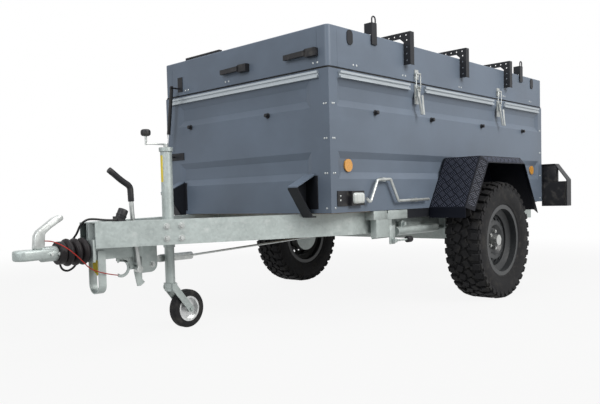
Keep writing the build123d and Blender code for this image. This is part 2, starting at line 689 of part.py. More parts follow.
# Wheels: tyre, rim and hub on each side
disc_y = WHEEL_Y + DISC_OUT
for side, sign in (("left", 1), ("right", -1)):
    wheel_plane = Plane(origin=(AXLE_X, 0, TYRE_RADIUS), x_dir=(1, 0, 0), z_dir=(0, 0, 1))
    spin = Axis((AXLE_X, 0, TYRE_RADIUS), (0, 1, 0))
    mid = sign * WHEEL_Y
    half = TYRE_WIDTH / 2
    with BuildPart() as tyre:
        with BuildSketch(wheel_plane):
            with BuildLine():
                Polyline(
                    (BEAD_RADIUS + 0.4, mid + 88),
                    (BEAD_RADIUS + 0.4, mid - 88),
                    (RIM_FLANGE + 2, mid - 94),
                )
                ThreePointArc(
                    (RIM_FLANGE + 2, mid - 94),
                    (285, mid - half),
                    (TYRE_RADIUS - 22, mid - half + 6),
                )
                Polyline(
                    (TYRE_RADIUS - 22, mid - half + 6),
                    (TYRE_RADIUS - 3, mid - half + 22),
                    (TYRE_RADIUS, mid - half + 60),
                    (TYRE_RADIUS, mid + half - 60),
                    (TYRE_RADIUS - 3, mid + half - 22),
                    (TYRE_RADIUS - 22, mid + half - 6),
                )
                ThreePointArc(
                    (TYRE_RADIUS - 22, mid + half - 6),
                    (285, mid + half),
                    (RIM_FLANGE + 2, mid + 94),
                )
                Polyline((RIM_FLANGE + 2, mid + 94), (BEAD_RADIUS + 0.4, mid + 88))
            make_face()
        revolve(axis=spin)
    save(tyre, f"tyre_{side}")

    with BuildPart() as rim:
        with BuildSketch(wheel_plane):
            with BuildLine():
                sheet = RIM_SHEET
                well = WELL_RADIUS
                Polyline(
                    (RIM_FLANGE, mid - RIM_HALF),
                    (BEAD_RADIUS, mid - RIM_HALF + sheet),
                    (BEAD_RADIUS, mid - 52),
                    (well, mid - 34),
                    (well, mid + 34),
                    (BEAD_RADIUS, mid + 52),
                    (BEAD_RADIUS, mid + RIM_HALF - sheet),
                    (RIM_FLANGE, mid + RIM_HALF),
                    (BEAD_RADIUS - sheet, mid + RIM_HALF),
                    (BEAD_RADIUS - sheet, mid + 56),
                    (well - sheet, mid + 38),
                    (well - sheet, mid - 38),
                    (BEAD_RADIUS - sheet, mid - 56),
                    (BEAD_RADIUS - sheet, mid - RIM_HALF),
                    close=True,
                )
            make_face()
            with BuildLine():
                face = sign * disc_y
                thick = sign * DISC_SHEET
                Polyline(
                    (34, face),
                    (76, face),
                    (96, face + sign * 20),
                    (120, face + sign * 20),
                    (well - 2, face),
                    (well - 2, face - thick),
                    (118, face + sign * 20 - thick),
                    (98, face + sign * 20 - thick),
                    (78, face - thick),
                    (34, face - thick),
                    close=True,
                )
            make_face()
        revolve(axis=spin)
        with BuildSketch(side_plane(AXLE_X, sign * (disc_y - 40), TYRE_RADIUS, sign)):
            with PolarLocations(VENT_RING, VENT_COUNT):
                Circle(VENT_RADIUS)
            with PolarLocations(LUG_RING, LUG_COUNT):
                Circle(7.4)
        extrude(amount=80, mode=Mode.SUBTRACT)
    save(rim, f"rim_{side}")

    with BuildPart() as hub:
        with BuildSketch(side_plane(AXLE_X, sign * DRUM_IN, TYRE_RADIUS, sign)):
            Circle(DRUM_RADIUS)
        extrude(amount=DRUM_OUT - DRUM_IN)
        with BuildSketch(side_plane(AXLE_X, sign * DRUM_OUT, TYRE_RADIUS, sign)):
            Circle(74)
        extrude(amount=disc_y - DISC_SHEET - DRUM_OUT)
        with BuildSketch(side_plane(AXLE_X, sign * (disc_y - DISC_SHEET), TYRE_RADIUS, sign)):
            Circle(33)
        extrude(amount=52)
        with BuildSketch(side_plane(AXLE_X, sign * (disc_y - DISC_SHEET), TYRE_RADIUS, sign)):
            with PolarLocations(LUG_RING, LUG_COUNT):
                Circle(7)
        extrude(amount=DISC_SHEET + 18)
        with BuildSketch(side_plane(AXLE_X, sign * (disc_y + 0.3), TYRE_RADIUS, sign)):
            with PolarLocations(LUG_RING, LUG_COUNT):
                RegularPolygon(11, 6)
        extrude(amount=15)
        with BuildSketch(side_plane(AXLE_X, sign * (DRUM_IN - 1), TYRE_RADIUS, sign)):
            Circle(STUB_RADIUS + RUNNING)
        extrude(amount=AXLE_HALF + ARM_THICK + 106 - DRUM_IN, mode=Mode.SUBTRACT)
        with BuildSketch(side_plane(AXLE_X, sign * (DRUM_IN - 1), TYRE_RADIUS, sign)):
            Circle(DRUM_RADIUS - 8)
            Circle(STUB_RADIUS + 25, mode=Mode.SUBTRACT)
        extrude(amount=DRUM_OUT - DRUM_IN - 10, mode=Mode.SUBTRACT)
    save(hub, f"hub_{side}")

# Overrun device, coupling head and bellows
with BuildPart() as overrun_housing:
    with Locations((AXLE_X + 2225.5, 0, BEAM_BOTTOM - 28)):
        Box(281, 70, 56)
    with Locations((BEAM_FRONT + 6, 0, SHAFT_Z)):
        Box(12, 126, 104)
save(overrun_housing, "overrun_housing")

with BuildPart() as coupling_head:
    with BuildSketch(Plane.XY.offset(SHAFT_Z - 22)):
        with Locations((SOCKET_X, 0)):
            Circle(HEAD_RADIUS)
        with Locations((SOCKET_X - 100, 0)):
            Rectangle(60, 70)
        make_hull()
    extrude(amount=46)
    with Locations(Location((SOCKET_X - 150, 0, SHAFT_Z), (0, 90, 0))):
        Cylinder(36, 90)
    with Locations(Location((BEAM_FRONT + 12 + 100, 0, SHAFT_Z), (0, 90, 0))):
        Cylinder(25, 200)
    with Locations((SOCKET_X, 0, SHAFT_Z - 22 + 17)):
        Cylinder(SOCKET_RADIUS, 34, mode=Mode.SUBTRACT)
save(coupling_head, "coupling_head")

with BuildPart() as coupling_lever:
    with BuildSketch(Plane(origin=(AXLE_X, 0, 0), x_dir=(1, 0, 0), z_dir=(0, -1, 0))):
        with BuildLine():
            Polyline((2632, 472.2), (2600, 472.2), (2608, 528), (2484, 592), (2491, 607), (2632, 538), close=True)
        make_face()
    extrude(amount=17, both=True)
save(coupling_lever, "coupling_lever")

bellows_start = BEAM_FRONT + 12.3
bellows_end = SOCKET_X - 195.2
fold = (bellows_end - bellows_start) / 6
with BuildPart() as drawbar_bellows:
    with BuildSketch(Plane(origin=(0, 0, SHAFT_Z), x_dir=(1, 0, 0), z_dir=(0, -1, 0))):
        with BuildLine():
            crest = [(bellows_start + fold * k, 42 if k % 2 == 0 else 60) for k in range(7)]
            Polyline(*crest, (bellows_end, 28), (bellows_start, 28), close=True)
        make_face()
    revolve(axis=Axis((0, 0, SHAFT_Z), (1, 0, 0)))
save(drawbar_bellows, "drawbar_bellows")

# Hanging loop, handbrake lever, brake linkage and rod
with BuildPart() as parking_loop:
    with BuildSketch(end_plane(AXLE_X + 2302, 0, 0)):
        with BuildLine():
            Polyline((44, 402.8), (44, 285))
            ThreePointArc((44, 285), (0, 241), (-44, 285))
            Polyline((-44, 285), (-44, 402.8), (-39, 402.8), (-39, 285))
            ThreePointArc((-39, 285), (0, 246), (39, 285))
            Polyline((39, 285), (39, 402.8), (44, 402.8))
        make_face()
    extrude(amount=40)
    for shift in (-39.5, 39.5):
        with Locations((AXLE_X + 2322, shift, 424)):
            Box(40, 9, 43)
save(parking_loop, "parking_loop")

LEVER_Y = 47.0
LEVER_PATH = ((2118.0, 340.0), (2138.0, 560.0), (2149.0, 676.0), (2180.0, 735.0))
with BuildPart() as handbrake_lever:
    with BuildLine(side_plane(AXLE_X, LEVER_Y, 0)):
        FilletPolyline(*[(-x, z) for x, z in LEVER_PATH], radius=60)
    first = LEVER_PATH[0]
    second = LEVER_PATH[1]
    rise = Vector(second[0] - first[0], 0, second[1] - first[1])
    with BuildSketch(Plane(origin=(AXLE_X + first[0], LEVER_Y, first[1]), z_dir=rise)):
        Circle(10)
    sweep()
    with Locations(Location((AXLE_X + first[0], LEVER_Y - 1, first[1]), (90, 0, 0))):
        Cylinder(17, 22)
save(handbrake_lever, "handbrake_lever")

with BuildPart() as handbrake_grip:
    last = LEVER_PATH[-1]
    before = LEVER_PATH[-2]
    lean = Vector(last[0] - before[0], 0, last[1] - before[1]).normalized()
    grip_x = last[0] + lean.X * 0.3
    grip_z = last[1] + lean.Z * 0.3
    with BuildLine(side_plane(AXLE_X, LEVER_Y, 0)):
        FilletPolyline(
            (-grip_x, grip_z),
            (-grip_x - lean.X * 34, grip_z + lean.Z * 34),
            (-2253, 824),
            radius=40,
        )
    with BuildSketch(Plane(origin=(AXLE_X + grip_x, LEVER_Y, grip_z), z_dir=lean)):
        Circle(15)
    sweep()
save(handbrake_grip, "handbrake_grip")

with BuildPart() as brake_linkage:
    with BuildSketch(side_plane(AXLE_X, 35, 0)):
        with BuildLine():
            Polyline(
                (-2230, 403),
                (-2100, 403),
                (-2095, 330),
                (-2110, 258),
                (-2135, 258),
                (-2210, 300),
                close=True,
            )
        make_face()
    extrude(amount=-8)
    with Locations((AXLE_X + 2028, 0, 380)):
        Box(114, 56, 110)
save(brake_linkage, "brake_linkage")

with BuildPart() as brake_rod:
    rod_y = -48.0
    with Locations(Location((AXLE_X + 1825, rod_y, 372), (0, 90, 0))):
        Cylinder(20, 210)
    with Locations((AXLE_X + 1945, rod_y + 4, 372)):
        Box(52, 44, 30)
    rod_start = Vector(AXLE_X + 1730, rod_y, 372)
    rod_end = Vector(AXLE_X + AXLE_AHEAD + AXLE_TUBE / 2, rod_y, 430)
    with BuildSketch(Plane(origin=rod_start, z_dir=rod_end - rod_start)):
        Circle(6)
    extrude(amount=(rod_end - rod_start).length - 1)
save(brake_rod, "brake_rod")

with BuildPart() as connector_plug:
    with BuildSketch(Plane(origin=(AXLE_X + 2240, 60, BEAM_TOP), z_dir=(0.2, 0, 1))):
        Circle(24)
    extrude(amount=62)
    with Locations((AXLE_X + 2240, 80, BEAM_TOP + 4)):
        Box(60, 70, 8)
    split(bisect_by=Plane.XY.offset(BEAM_TOP), keep=Keep.TOP)
save(connector_plug, "connector_plug")

# Jack: outer tube, crank, leg, fork and nose wheel
with BuildPart() as jack_outer_tube:
    with BuildSketch(Plane.XY.offset(JACK_BOTTOM)):
        with Locations((JACK_X, 0)):
            Circle(JACK_RADIUS)
    extrude(amount=JACK_TOP - JACK_BOTTOM)
    with BuildSketch(Plane.XY.offset(JACK_BOTTOM)):
        with Locations((JACK_X, 0)):
            Circle(LEG_RADIUS + RUNNING)
    extrude(amount=JACK_TOP - JACK_BOTTOM - 12, mode=Mode.SUBTRACT)
    with Locations((JACK_X, 0, JACK_TOP - 10)):
        Cylinder(JACK_RADIUS + 6, 20)
save(jack_outer_tube, "jack_outer_tube")

with BuildPart() as jack_crank:
    with Locations((JACK_X, 0, JACK_TOP + 10)):
        Cylinder(12, 20)
    with Locations((JACK_X + 80, 0, JACK_TOP + 16)):
        Box(190, 26, 8)
    with Locations((JACK_X + 165, 0, JACK_TOP + 44)):
        Cylinder(17, 52)
save(jack_crank, "jack_crank")

LEG_INSIDE = 330.0
with BuildPart() as jack_leg:
    with BuildSketch(Plane.XY.offset(FORK_TOP + 0.5)):
        with Locations((JACK_X, 0)):
            Circle(LEG_RADIUS)
    extrude(amount=JACK_BOTTOM + LEG_INSIDE - FORK_TOP)
    with BuildSketch(Plane.XY.offset(FORK_TOP - 40)):
        with Locations((JACK_X, 0)):
            Circle(10)
    extrude(amount=50)
save(jack_leg, "jack_leg")

nose_x = JACK_X - NOSE_TRAIL
fork_half = NOSE_WIDTH / 2 + 8
with BuildPart() as nose_fork:
    with Locations((JACK_X, 0, FORK_TOP - 20)):
        Cylinder(31, 40)
    with BuildSketch(side_plane(0, fork_half, 0)):
        with Locations((-JACK_X, FORK_TOP - 22)):
            Circle(18)
        with Locations((-nose_x, NOSE_RADIUS)):
            Circle(18)
        make_hull()
    extrude(amount=5)
    with Locations((JACK_X, fork_half / 2 + 2, FORK_TOP - 8)):
        Box(30, fork_half + 4, 16)
    mirror(about=Plane.XZ)
    with Locations(Location((nose_x, 0, NOSE_RADIUS), (90, 0, 0))):
        Cylinder(8, 2 * fork_half + 24)
    with Locations((JACK_X, 0, FORK_TOP - 20)):
        Cylinder(10 + RUNNING, 44, mode=Mode.SUBTRACT)
save(nose_fork, "nose_fork")

with BuildPart() as nose_tyre:
    with Locations(Location((nose_x, 0, NOSE_RADIUS), (90, 0, 0))):
        Cylinder(NOSE_RADIUS, NOSE_WIDTH)
    fillet(nose_tyre.edges().filter_by(GeomType.CIRCLE), radius=14)
    with Locations(Location((nose_x, 0, NOSE_RADIUS), (90, 0, 0))):
        Cylinder(66, NOSE_WIDTH + 2, mode=Mode.SUBTRACT)
save(nose_tyre, "nose_tyre")

with BuildPart() as nose_rim:
    with Locations(Location((nose_x, 0, NOSE_RADIUS), (90, 0, 0))):
        Cylinder(65.8, NOSE_WIDTH - 4)
        Cylinder(56, NOSE_WIDTH, mode=Mode.SUBTRACT)
        Cylinder(57, 8)
        Cylinder(20, NOSE_WIDTH)
        Cylinder(8 + RUNNING, NOSE_WIDTH + 4, mode=Mode.SUBTRACT)
save(nose_rim, "nose_rim")

# Corner steadies, folded up against the chassis rails
with BuildPart() as steady_brackets:
    for sign in (1, -1):
        with Locations((AXLE_X + 832, sign * (RAIL_SIDE + 1.5), 500)):
            Box(268, 3, 150)
        with Locations(Location((AXLE_X + 860, sign * STEADY_Y, STEADY_Z - STEADY_DROP), (0, 90, 0))):
            Cylinder(STEADY_TUBE, 90)
        with Locations((AXLE_X + 860, sign * (RAIL_SIDE + 8), STEADY_Z - STEADY_DROP)):
            Box(70, 16, 30)
        with Locations(Location((STEADY_X, sign * (RAIL_SIDE + 28), STEADY_Z), (90, 0, 0))):
            Cylinder(10, 56)
save(steady_brackets, "steady_brackets")

for side, sign in (("left", 1), ("right", -1)):
    tube_z = STEADY_Z - STEADY_DROP
    tube_back = AXLE_X + 330.0
    tube_front = STEADY_X + 66.0
    with BuildPart() as steady_leg:
        with Locations(Location(((tube_front + tube_back) / 2, sign * STEADY_Y, tube_z), (0, 90, 0))):
            Cylinder(STEADY_TUBE, tube_front - tube_back)
        with Locations(Location(((tube_back + STEADY_FOOT) / 2, sign * STEADY_Y, tube_z), (0, 90, 0))):
            Cylinder(12, tube_back - STEADY_FOOT)
        with Locations((STEADY_FOOT + 3, sign * STEADY_Y, tube_z)):
            Box(6, 48, 118)
        with Locations((STEADY_X, sign * STEADY_Y, STEADY_Z - 14)):
            Box(36, 16, 28)
        with Locations(Location((STEADY_X, sign * STEADY_Y, STEADY_Z), (90, 0, 0))):
            Cylinder(18, 16)
            Cylinder(10 + RUNNING, 40, mode=Mode.SUBTRACT)
    save(steady_leg, f"steady_leg_{side}")
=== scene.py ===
"""Dress the camper trailer: finishes, road tread, small hardware, light and camera.

Lengths are in metres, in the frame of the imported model: X forward, Y left, Z up.
"""
import json
import logging
from dataclasses import dataclass, field
from enum import Enum
from math import cos, pi, radians, sin, tan
from typing import Sequence

import bpy
from mathutils import Matrix, Vector


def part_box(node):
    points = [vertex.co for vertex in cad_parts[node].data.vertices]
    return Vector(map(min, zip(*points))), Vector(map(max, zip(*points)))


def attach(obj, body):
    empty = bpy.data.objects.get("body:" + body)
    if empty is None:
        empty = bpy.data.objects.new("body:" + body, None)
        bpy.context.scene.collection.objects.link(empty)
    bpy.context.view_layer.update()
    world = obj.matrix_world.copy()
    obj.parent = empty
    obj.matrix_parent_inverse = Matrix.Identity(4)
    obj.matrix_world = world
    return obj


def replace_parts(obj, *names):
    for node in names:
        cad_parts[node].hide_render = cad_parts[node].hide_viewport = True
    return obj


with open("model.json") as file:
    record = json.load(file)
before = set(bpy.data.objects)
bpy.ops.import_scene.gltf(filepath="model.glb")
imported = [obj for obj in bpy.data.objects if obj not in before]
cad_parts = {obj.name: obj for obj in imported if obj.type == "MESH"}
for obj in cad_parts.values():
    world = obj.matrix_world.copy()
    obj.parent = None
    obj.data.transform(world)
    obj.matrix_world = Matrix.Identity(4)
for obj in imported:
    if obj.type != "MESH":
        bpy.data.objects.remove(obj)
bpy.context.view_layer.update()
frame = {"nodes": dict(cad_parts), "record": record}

LOG = logging.getLogger("trailer")
Color = tuple[float, float, float]
Point = tuple[float, float, float]
Pair = tuple[float, float]
Outline = tuple[Pair, ...]
Piece = bpy.types.Object


class Slot(Enum):
    """Material slots of the record that new pieces share."""

    PAINT = "box_paint"
    GALVANISED = "galvanised"
    BLACK_STEEL = "black_steel"
    TREAD_PLATE = "tread_plate"
    ZINC = "zinc_hardware"
    PLASTIC = "black_plastic"
    TYRE = "tyre_rubber"
    LENS = "lens_white"
    BELLOWS = "bellows_rubber"


def joint_place(name: str) -> Vector:
    """Where a joint of the record sits at rest."""
    joints = frame["record"]["behaviour"]["joints"]
    return Vector(next(joint["pos_m"] for joint in joints if joint["name"] == name))


AXLE_X = joint_place("wheel_left_spin").x
BOX_LOW, BOX_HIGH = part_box("side_walls")
BEAM_LOW, BEAM_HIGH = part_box("drawbar_beams")
BEAM_SLOPE = tan(radians(23.33))
SHAFT_Z = 0.448
SIDES = (1, -1)
ORIGIN: Point = (0.0, 0.0, 0.0)
WELD = 1e-5
EDGE = 0.001


class Wire:
    """A shader socket that takes part in Python expressions."""

    def __init__(self, book: "NodeBook", socket: bpy.types.NodeSocket) -> None:
        """Keep the socket and the book that its new nodes go to."""
        self.book = book
        self.socket = socket

    def _math(self, operation: str, first: object, second: object = 0.0) -> "Wire":
        """Add one Math node on two values."""
        return self.book.node("ShaderNodeMath", {"operation": operation}, {0: first, 1: second})

    def __add__(self, other: object) -> "Wire":
        """Sum."""
        return self._math("ADD", self, other)

    __radd__ = __add__

    def __sub__(self, other: object) -> "Wire":
        """Difference."""
        return self._math("SUBTRACT", self, other)

    def __rsub__(self, other: object) -> "Wire":
        """Difference taken from a number."""
        return self._math("SUBTRACT", other, self)

    def __mul__(self, other: object) -> "Wire":
        """Product."""
        return self._math("MULTIPLY", self, other)

    __rmul__ = __mul__

    def __gt__(self, other: object) -> "Wire":
        """One where this is greater, else zero."""
        return self._math("GREATER_THAN", self, other)

    def between(self, low: float, high: float) -> "Wire":
        """Rise smoothly from zero at the low value to one at the high value."""
        settings = {"interpolation_type": "SMOOTHSTEP"}
        return self.book.node("ShaderNodeMapRange", settings, {0: self, 1: low, 2: high})


class NodeBook:
    """The nodes of one material or world, written as expressions."""

    def __init__(self, name: str, world: bool = False) -> None:
        """Make a material or a world with its plain surface.

        Args:
            name: Name of the new material or world.
            world: True for a world.
        """
        self.owner = bpy.data.worlds.new(name) if world else bpy.data.materials.new(name)
        self.owner.use_nodes = True
        self.tree = self.owner.node_tree
        self.shader = self.tree.nodes["Background" if world else "Principled BSDF"]
        self.white = "ShaderNodeBackground" if world else "ShaderNodeEmission"
        self.output = self.tree.nodes["World Output" if world else "Material Output"]

    def put(self, socket: bpy.types.NodeSocket, value: object) -> None:
        """Link a wire to a socket, or set a plain value on it.

        Args:
            socket: The input to fill.
            value: A wire, a number or a colour.
        """
        if isinstance(value, Wire):
            self.tree.links.new(value.socket, socket)
        elif isinstance(value, tuple) and len(socket.default_value) == 4:
            socket.default_value = (*value, 1.0)
        else:
            socket.default_value = value

    def node(self, kind: str, settings: dict, inputs: dict, out: object = 0) -> Wire:
        """Add any node.

        Args:
            kind: The node's type name.
            settings: Properties set first; "stops" holds a ramp's places and colours.
            inputs: Values or wires by socket name or number.
            out: Name or number of the output to give back.

        Returns:
            The chosen output.
        """
        made = self.tree.nodes.new(kind)
        for key, value in settings.items():
            if key == "stops":
                for element, (place, shade) in zip(made.color_ramp.elements, value):
                    element.position = place
                    element.color = (*shade, 1.0)
            else:
                setattr(made, key, value)
        for key, value in inputs.items():
            self.put(made.inputs[key], value)
        return Wire(self, made.outputs[out])

    def place(self, stretch: Point = (1.0, 1.0, 1.0)) -> Wire:
        """Object coordinates, stretched along the axes."""
        spot = self.node("ShaderNodeTexCoord", {}, {}, "Object")
        return self.node("ShaderNodeVectorMath", {"operation": "MULTIPLY"}, {0: spot, 1: stretch})

    def noise(self, scale: float, detail: float = 3.0, stretch: Point = (1.0, 1.0, 1.0)) -> Wire:
        """Soft noise about one half, by features to the metre, octaves and stretch."""
        inputs = {"Vector": self.place(stretch), "Scale": scale, "Detail": detail}
        return self.node("ShaderNodeTexNoise", {}, inputs)

    def cells(self, scale: float) -> Wire:
        """Flat random cells in object space, as a grey value."""
        shade = self.node("ShaderNodeTexVoronoi", {}, {"Vector": self.place(), "Scale": scale}, "Color")
        return self.node("ShaderNodeSeparateColor", {}, {0: shade})

    def mix(self, factor: Wire, low: object, high: object) -> Wire:
        """Blend two colours: a factor of zero gives the low one, one gives the high one."""
        return self.node("ShaderNodeMix", {"data_type": "RGBA"}, {0: factor, 6: low, 7: high}, 2)

    def bump(self, height: Wire, strength: float, depth: float) -> Wire:
        """Turn a height into a normal, by a share of the effect and a depth in metres."""
        inputs = {"Strength": strength, "Distance": depth, "Height": height}
        return self.node("ShaderNodeBump", {}, inputs)

    def seen(self) -> Wire:
        """Tell the rays that show the stage to the viewer from those that light the part.

        Returns:
            One for rays from the camera, mirrors and glass, else zero.
        """
        path = self.tree.nodes.new("ShaderNodeLightPath")
        rays = [Wire(self, path.outputs[f"Is {kind} Ray"]) for kind in ("Camera", "Glossy", "Transmission")]
        total = rays[0] + rays[1] + rays[2]
        return total > 0.5

    def glow(self, share: Wire) -> None:
        """Mix plain white light over the surface.

        Args:
            share: Zero keeps the surface, one gives white.
        """
        white = self.node(self.white, {}, {"Color": (1.0, 1.0, 1.0), "Strength": 1.0})
        base = Wire(self, self.shader.outputs[0])
        blend = self.node("ShaderNodeMixShader", {}, {0: share, 1: base, 2: white})
        self.put(self.output.inputs["Surface"], blend)

    def surface(self, **sockets: object) -> bpy.types.Material | bpy.types.World:
        """Fill the plain surface.

        Args:
            **sockets: Values by socket name, with underscores for spaces.

        Returns:
            The finished material or world.
        """
        for key, value in sockets.items():
            self.put(self.shader.inputs[key.replace("_", " ")], value)
        return self.owner


def scaled(color: Color, factor: float) -> Color:
    """A colour made lighter or darker by one factor."""
    return tuple(min(1.0, part * factor) for part in color)


@dataclass(frozen=True)
class Finish:
    """A surface finish with its main values."""

    name: str
    color: Color
    roughness: float
    metallic: float = 0.0

    def material(self) -> bpy.types.Material:
        """Make the finish's material."""
        raise NotImplementedError


@dataclass(frozen=True)
class PowderCoat(Finish):
    """Coated sheet: orange peel, slight clouding and a worn sheen."""

    peel: float = 620.0
    peel_depth: float = 0.0004
    clouding: float = 0.10
    shine: float = 0.5

    def material(self) -> bpy.types.Material:
        """Cloud the colour and the sheen, and raise a fine peel.

        Returns:
            The material.
        """
        book = NodeBook(self.name)
        cloud = book.noise(2.4, 5.0).between(0.3, 0.7)
        peel = book.noise(self.peel, 2.0)
        smear = book.noise(9.0, 4.0, (0.35, 1.0, 1.6)).between(0.52, 0.78)
        tint = book.mix(cloud, scaled(self.color, 1 - self.clouding), scaled(self.color, 1 + self.clouding))
        return book.surface(
            Base_Color=book.mix(smear * 0.16, tint, scaled(self.color, 1.35)),
            Roughness=self.roughness + (cloud - 0.5) * 0.08 + smear * 0.06 + (peel - 0.5) * 0.05,
            Metallic=self.metallic,
            Specular_IOR_Level=self.shine,
            Normal=book.bump(peel, 0.5, self.peel_depth),
        )


@dataclass(frozen=True)
class Galvanised(Finish):
    """Hot-dip zinc: spangle, grey clouds and pale bloom."""

    spangle: float = 85.0

    def material(self) -> bpy.types.Material:
        """Mottle the zinc by cells and clouds.

        Returns:
            The material.
        """
        book = NodeBook(self.name)
        cells = book.cells(self.spangle)
        cloud = book.noise(7.0, 5.0).between(0.32, 0.68)
        bloom = book.noise(26.0, 4.0).between(0.55, 0.8)
        mottle = cells * 0.45 + cloud * 0.55
        zinc = book.mix(mottle, scaled(self.color, 0.80), scaled(self.color, 1.10))
        pale = book.mix(bloom * 0.5, zinc, (0.56, 0.58, 0.57))
        return book.surface(
            Base_Color=pale,
            Roughness=self.roughness + (cells - 0.5) * 0.14 + bloom * 0.14,
            Metallic=self.metallic,
            Normal=book.bump(cells * 0.3 + cloud, 0.25, 0.0002),
        )


@dataclass(frozen=True)
class Brushed(Finish):
    """Drawn or turned metal with fine lines along one axis."""

    grain: Point = (3.0, 420.0, 420.0)

    def material(self) -> bpy.types.Material:
        """Draw fine lines into colour, sheen and height.

        Returns:
            The material.
        """
        book = NodeBook(self.name)
        lines = book.noise(1.0, 3.0, self.grain)
        cloud = book.noise(14.0, 3.0)
        tint = book.mix(lines.between(0.35, 0.65), scaled(self.color, 0.86), scaled(self.color, 1.08))
        return book.surface(
            Base_Color=tint,
            Roughness=self.roughness + (lines - 0.5) * 0.25 + (cloud - 0.5) * 0.15,
            Metallic=self.metallic,
            Normal=book.bump(lines, 0.2, 0.0001),
        )


@dataclass(frozen=True)
class Moulded(Finish):
    """Moulded plastic or rubber with a fine grain."""

    grain: float = 900.0
    depth: float = 0.0004
    dust: float = 0.12
    shine: float = 0.3

    def material(self) -> bpy.types.Material:
        """Grain the surface and dust it lightly.

        Returns:
            The material.
        """
        book = NodeBook(self.name)
        grain = book.noise(self.grain, 2.0)
        dust = book.noise(22.0, 5.0).between(0.48, 0.75)
        return book.surface(
            Base_Color=book.mix(dust * self.dust, self.color, (0.30, 0.28, 0.25)),
            Roughness=self.roughness + (grain - 0.5) * 0.12 + dust * 0.08,
            Metallic=self.metallic,
            Specular_IOR_Level=self.shine,
            Normal=book.bump(grain, 0.6, self.depth),
        )


@dataclass(frozen=True)
class Lens(Finish):
    """Clear moulded lens with fine upright prisms."""

    prisms: Point = (900.0, 900.0, 1.0)

    def material(self) -> bpy.types.Material:
        """Rib the lens and deepen its colour between the ribs.

        Returns:
            The material.
        """
        book = NodeBook(self.name)
        ribs = book.noise(0.35, 1.0, self.prisms)
        tint = book.mix(ribs.between(0.4, 0.6), scaled(self.color, 0.82), scaled(self.color, 1.1))
        return book.surface(
            Base_Color=tint,
            Roughness=self.roughness,
            Coat_Weight=0.6,
            Coat_Roughness=0.08,
            Normal=book.bump(ribs, 0.35, 0.0008),
        )


@dataclass(frozen=True)
class Plywood(Finish):
    """Film-faced board with long brown grain."""

    grain: Point = (1.2, 26.0, 26.0)

    def material(self) -> bpy.types.Material:
        """Run the grain along the floor.

        Returns:
            The material.
        """
        book = NodeBook(self.name)
        grain = book.noise(1.6, 6.0, self.grain)
        tint = book.mix(grain.between(0.3, 0.7), scaled(self.color, 0.6), scaled(self.color, 1.2))
        return book.surface(
            Base_Color=tint,
            Roughness=self.roughness + (grain - 0.5) * 0.2,
            Normal=book.bump(grain, 0.3, 0.0005),
        )


FINISHES: dict[str, Finish] = {
    "box_paint": PowderCoat("anthracite_coat", (0.112, 0.140, 0.182), 0.45, 0.05, shine=0.35),
    "floor_wood": Plywood("plywood", (0.33, 0.22, 0.13), 0.5),
    "seal_rubber": Moulded("seal_rubber", (0.010, 0.010, 0.011), 0.7),
    "galvanised": Galvanised("galvanised", (0.385, 0.43, 0.42), 0.46, 0.45),
    "black_steel": PowderCoat("black_coat", (0.010, 0.011, 0.014), 0.42, peel_depth=0.0003, shine=0.25),
    "tread_plate": PowderCoat("black_tread", (0.004, 0.005, 0.009), 0.50, peel_depth=0.0003, shine=0.1),
    "rail_aluminium": Brushed("rail_aluminium", (0.42, 0.46, 0.49), 0.38, 0.7),
    "zinc_hardware": Brushed("plated_hardware", (0.47, 0.49, 0.48), 0.34, 0.7, (45.0, 45.0, 45.0)),
    "black_plastic": Moulded("black_plastic", (0.010, 0.010, 0.012), 0.45),
    "bellows_rubber": Moulded("bellows_rubber", (0.010, 0.008, 0.009), 0.5, dust=0.02, shine=0.2),
    "lens_red": Lens("red_lens", (0.5, 0.015, 0.015), 0.15),
    "lens_white": Lens("white_lens", (0.52, 0.55, 0.53), 0.15),
    "lens_amber": Lens("amber_lens", (0.58, 0.27, 0.04), 0.25, prisms=(700.0, 1.0, 700.0)),
    "strut_black": PowderCoat("strut_black", (0.010, 0.010, 0.011), 0.35, shine=0.3),
    "strut_rod": Brushed("polished_rod", (0.75, 0.76, 0.78), 0.14, 1.0, (40.0, 40.0, 400.0)),
    "tyre_rubber": Moulded("tyre_rubber", (0.010, 0.010, 0.011), 0.8, 0.0, 420.0, 0.0007, 0.07, 0.2),
    "rim_paint": PowderCoat("rim_black", (0.024, 0.026, 0.028), 0.38, shine=0.4),
    "hub_zinc": Brushed("hub_zinc", (0.5, 0.51, 0.5), 0.35, 0.8, (60.0, 60.0, 60.0)),
    "nose_rubber": Moulded("nose_rubber", (0.012, 0.012, 0.013), 0.7, shine=0.2),
    "nose_rim": Brushed("nose_rim", (0.60, 0.61, 0.61), 0.32, 0.8, (60.0, 60.0, 60.0)),
}
CABLE_RED = Moulded("red_sheath", (0.30, 0.020, 0.014), 0.45, dust=0.02, shine=0.2)
LEAD_BLACK = Moulded("lead_sheath", (0.012, 0.012, 0.012), 0.5, dust=0.03)
# Painted highlight: the raised tread bars are coloured lighter than the black plate, standing in for the
# light on their tops.
BARS_PAINTED_HIGHLIGHT = PowderCoat("bars_painted_highlight", (0.056, 0.063, 0.090), 0.38, shine=0.3)
TAG_YELLOW = PowderCoat("yellow_tag", (0.72, 0.55, 0.04), 0.45)


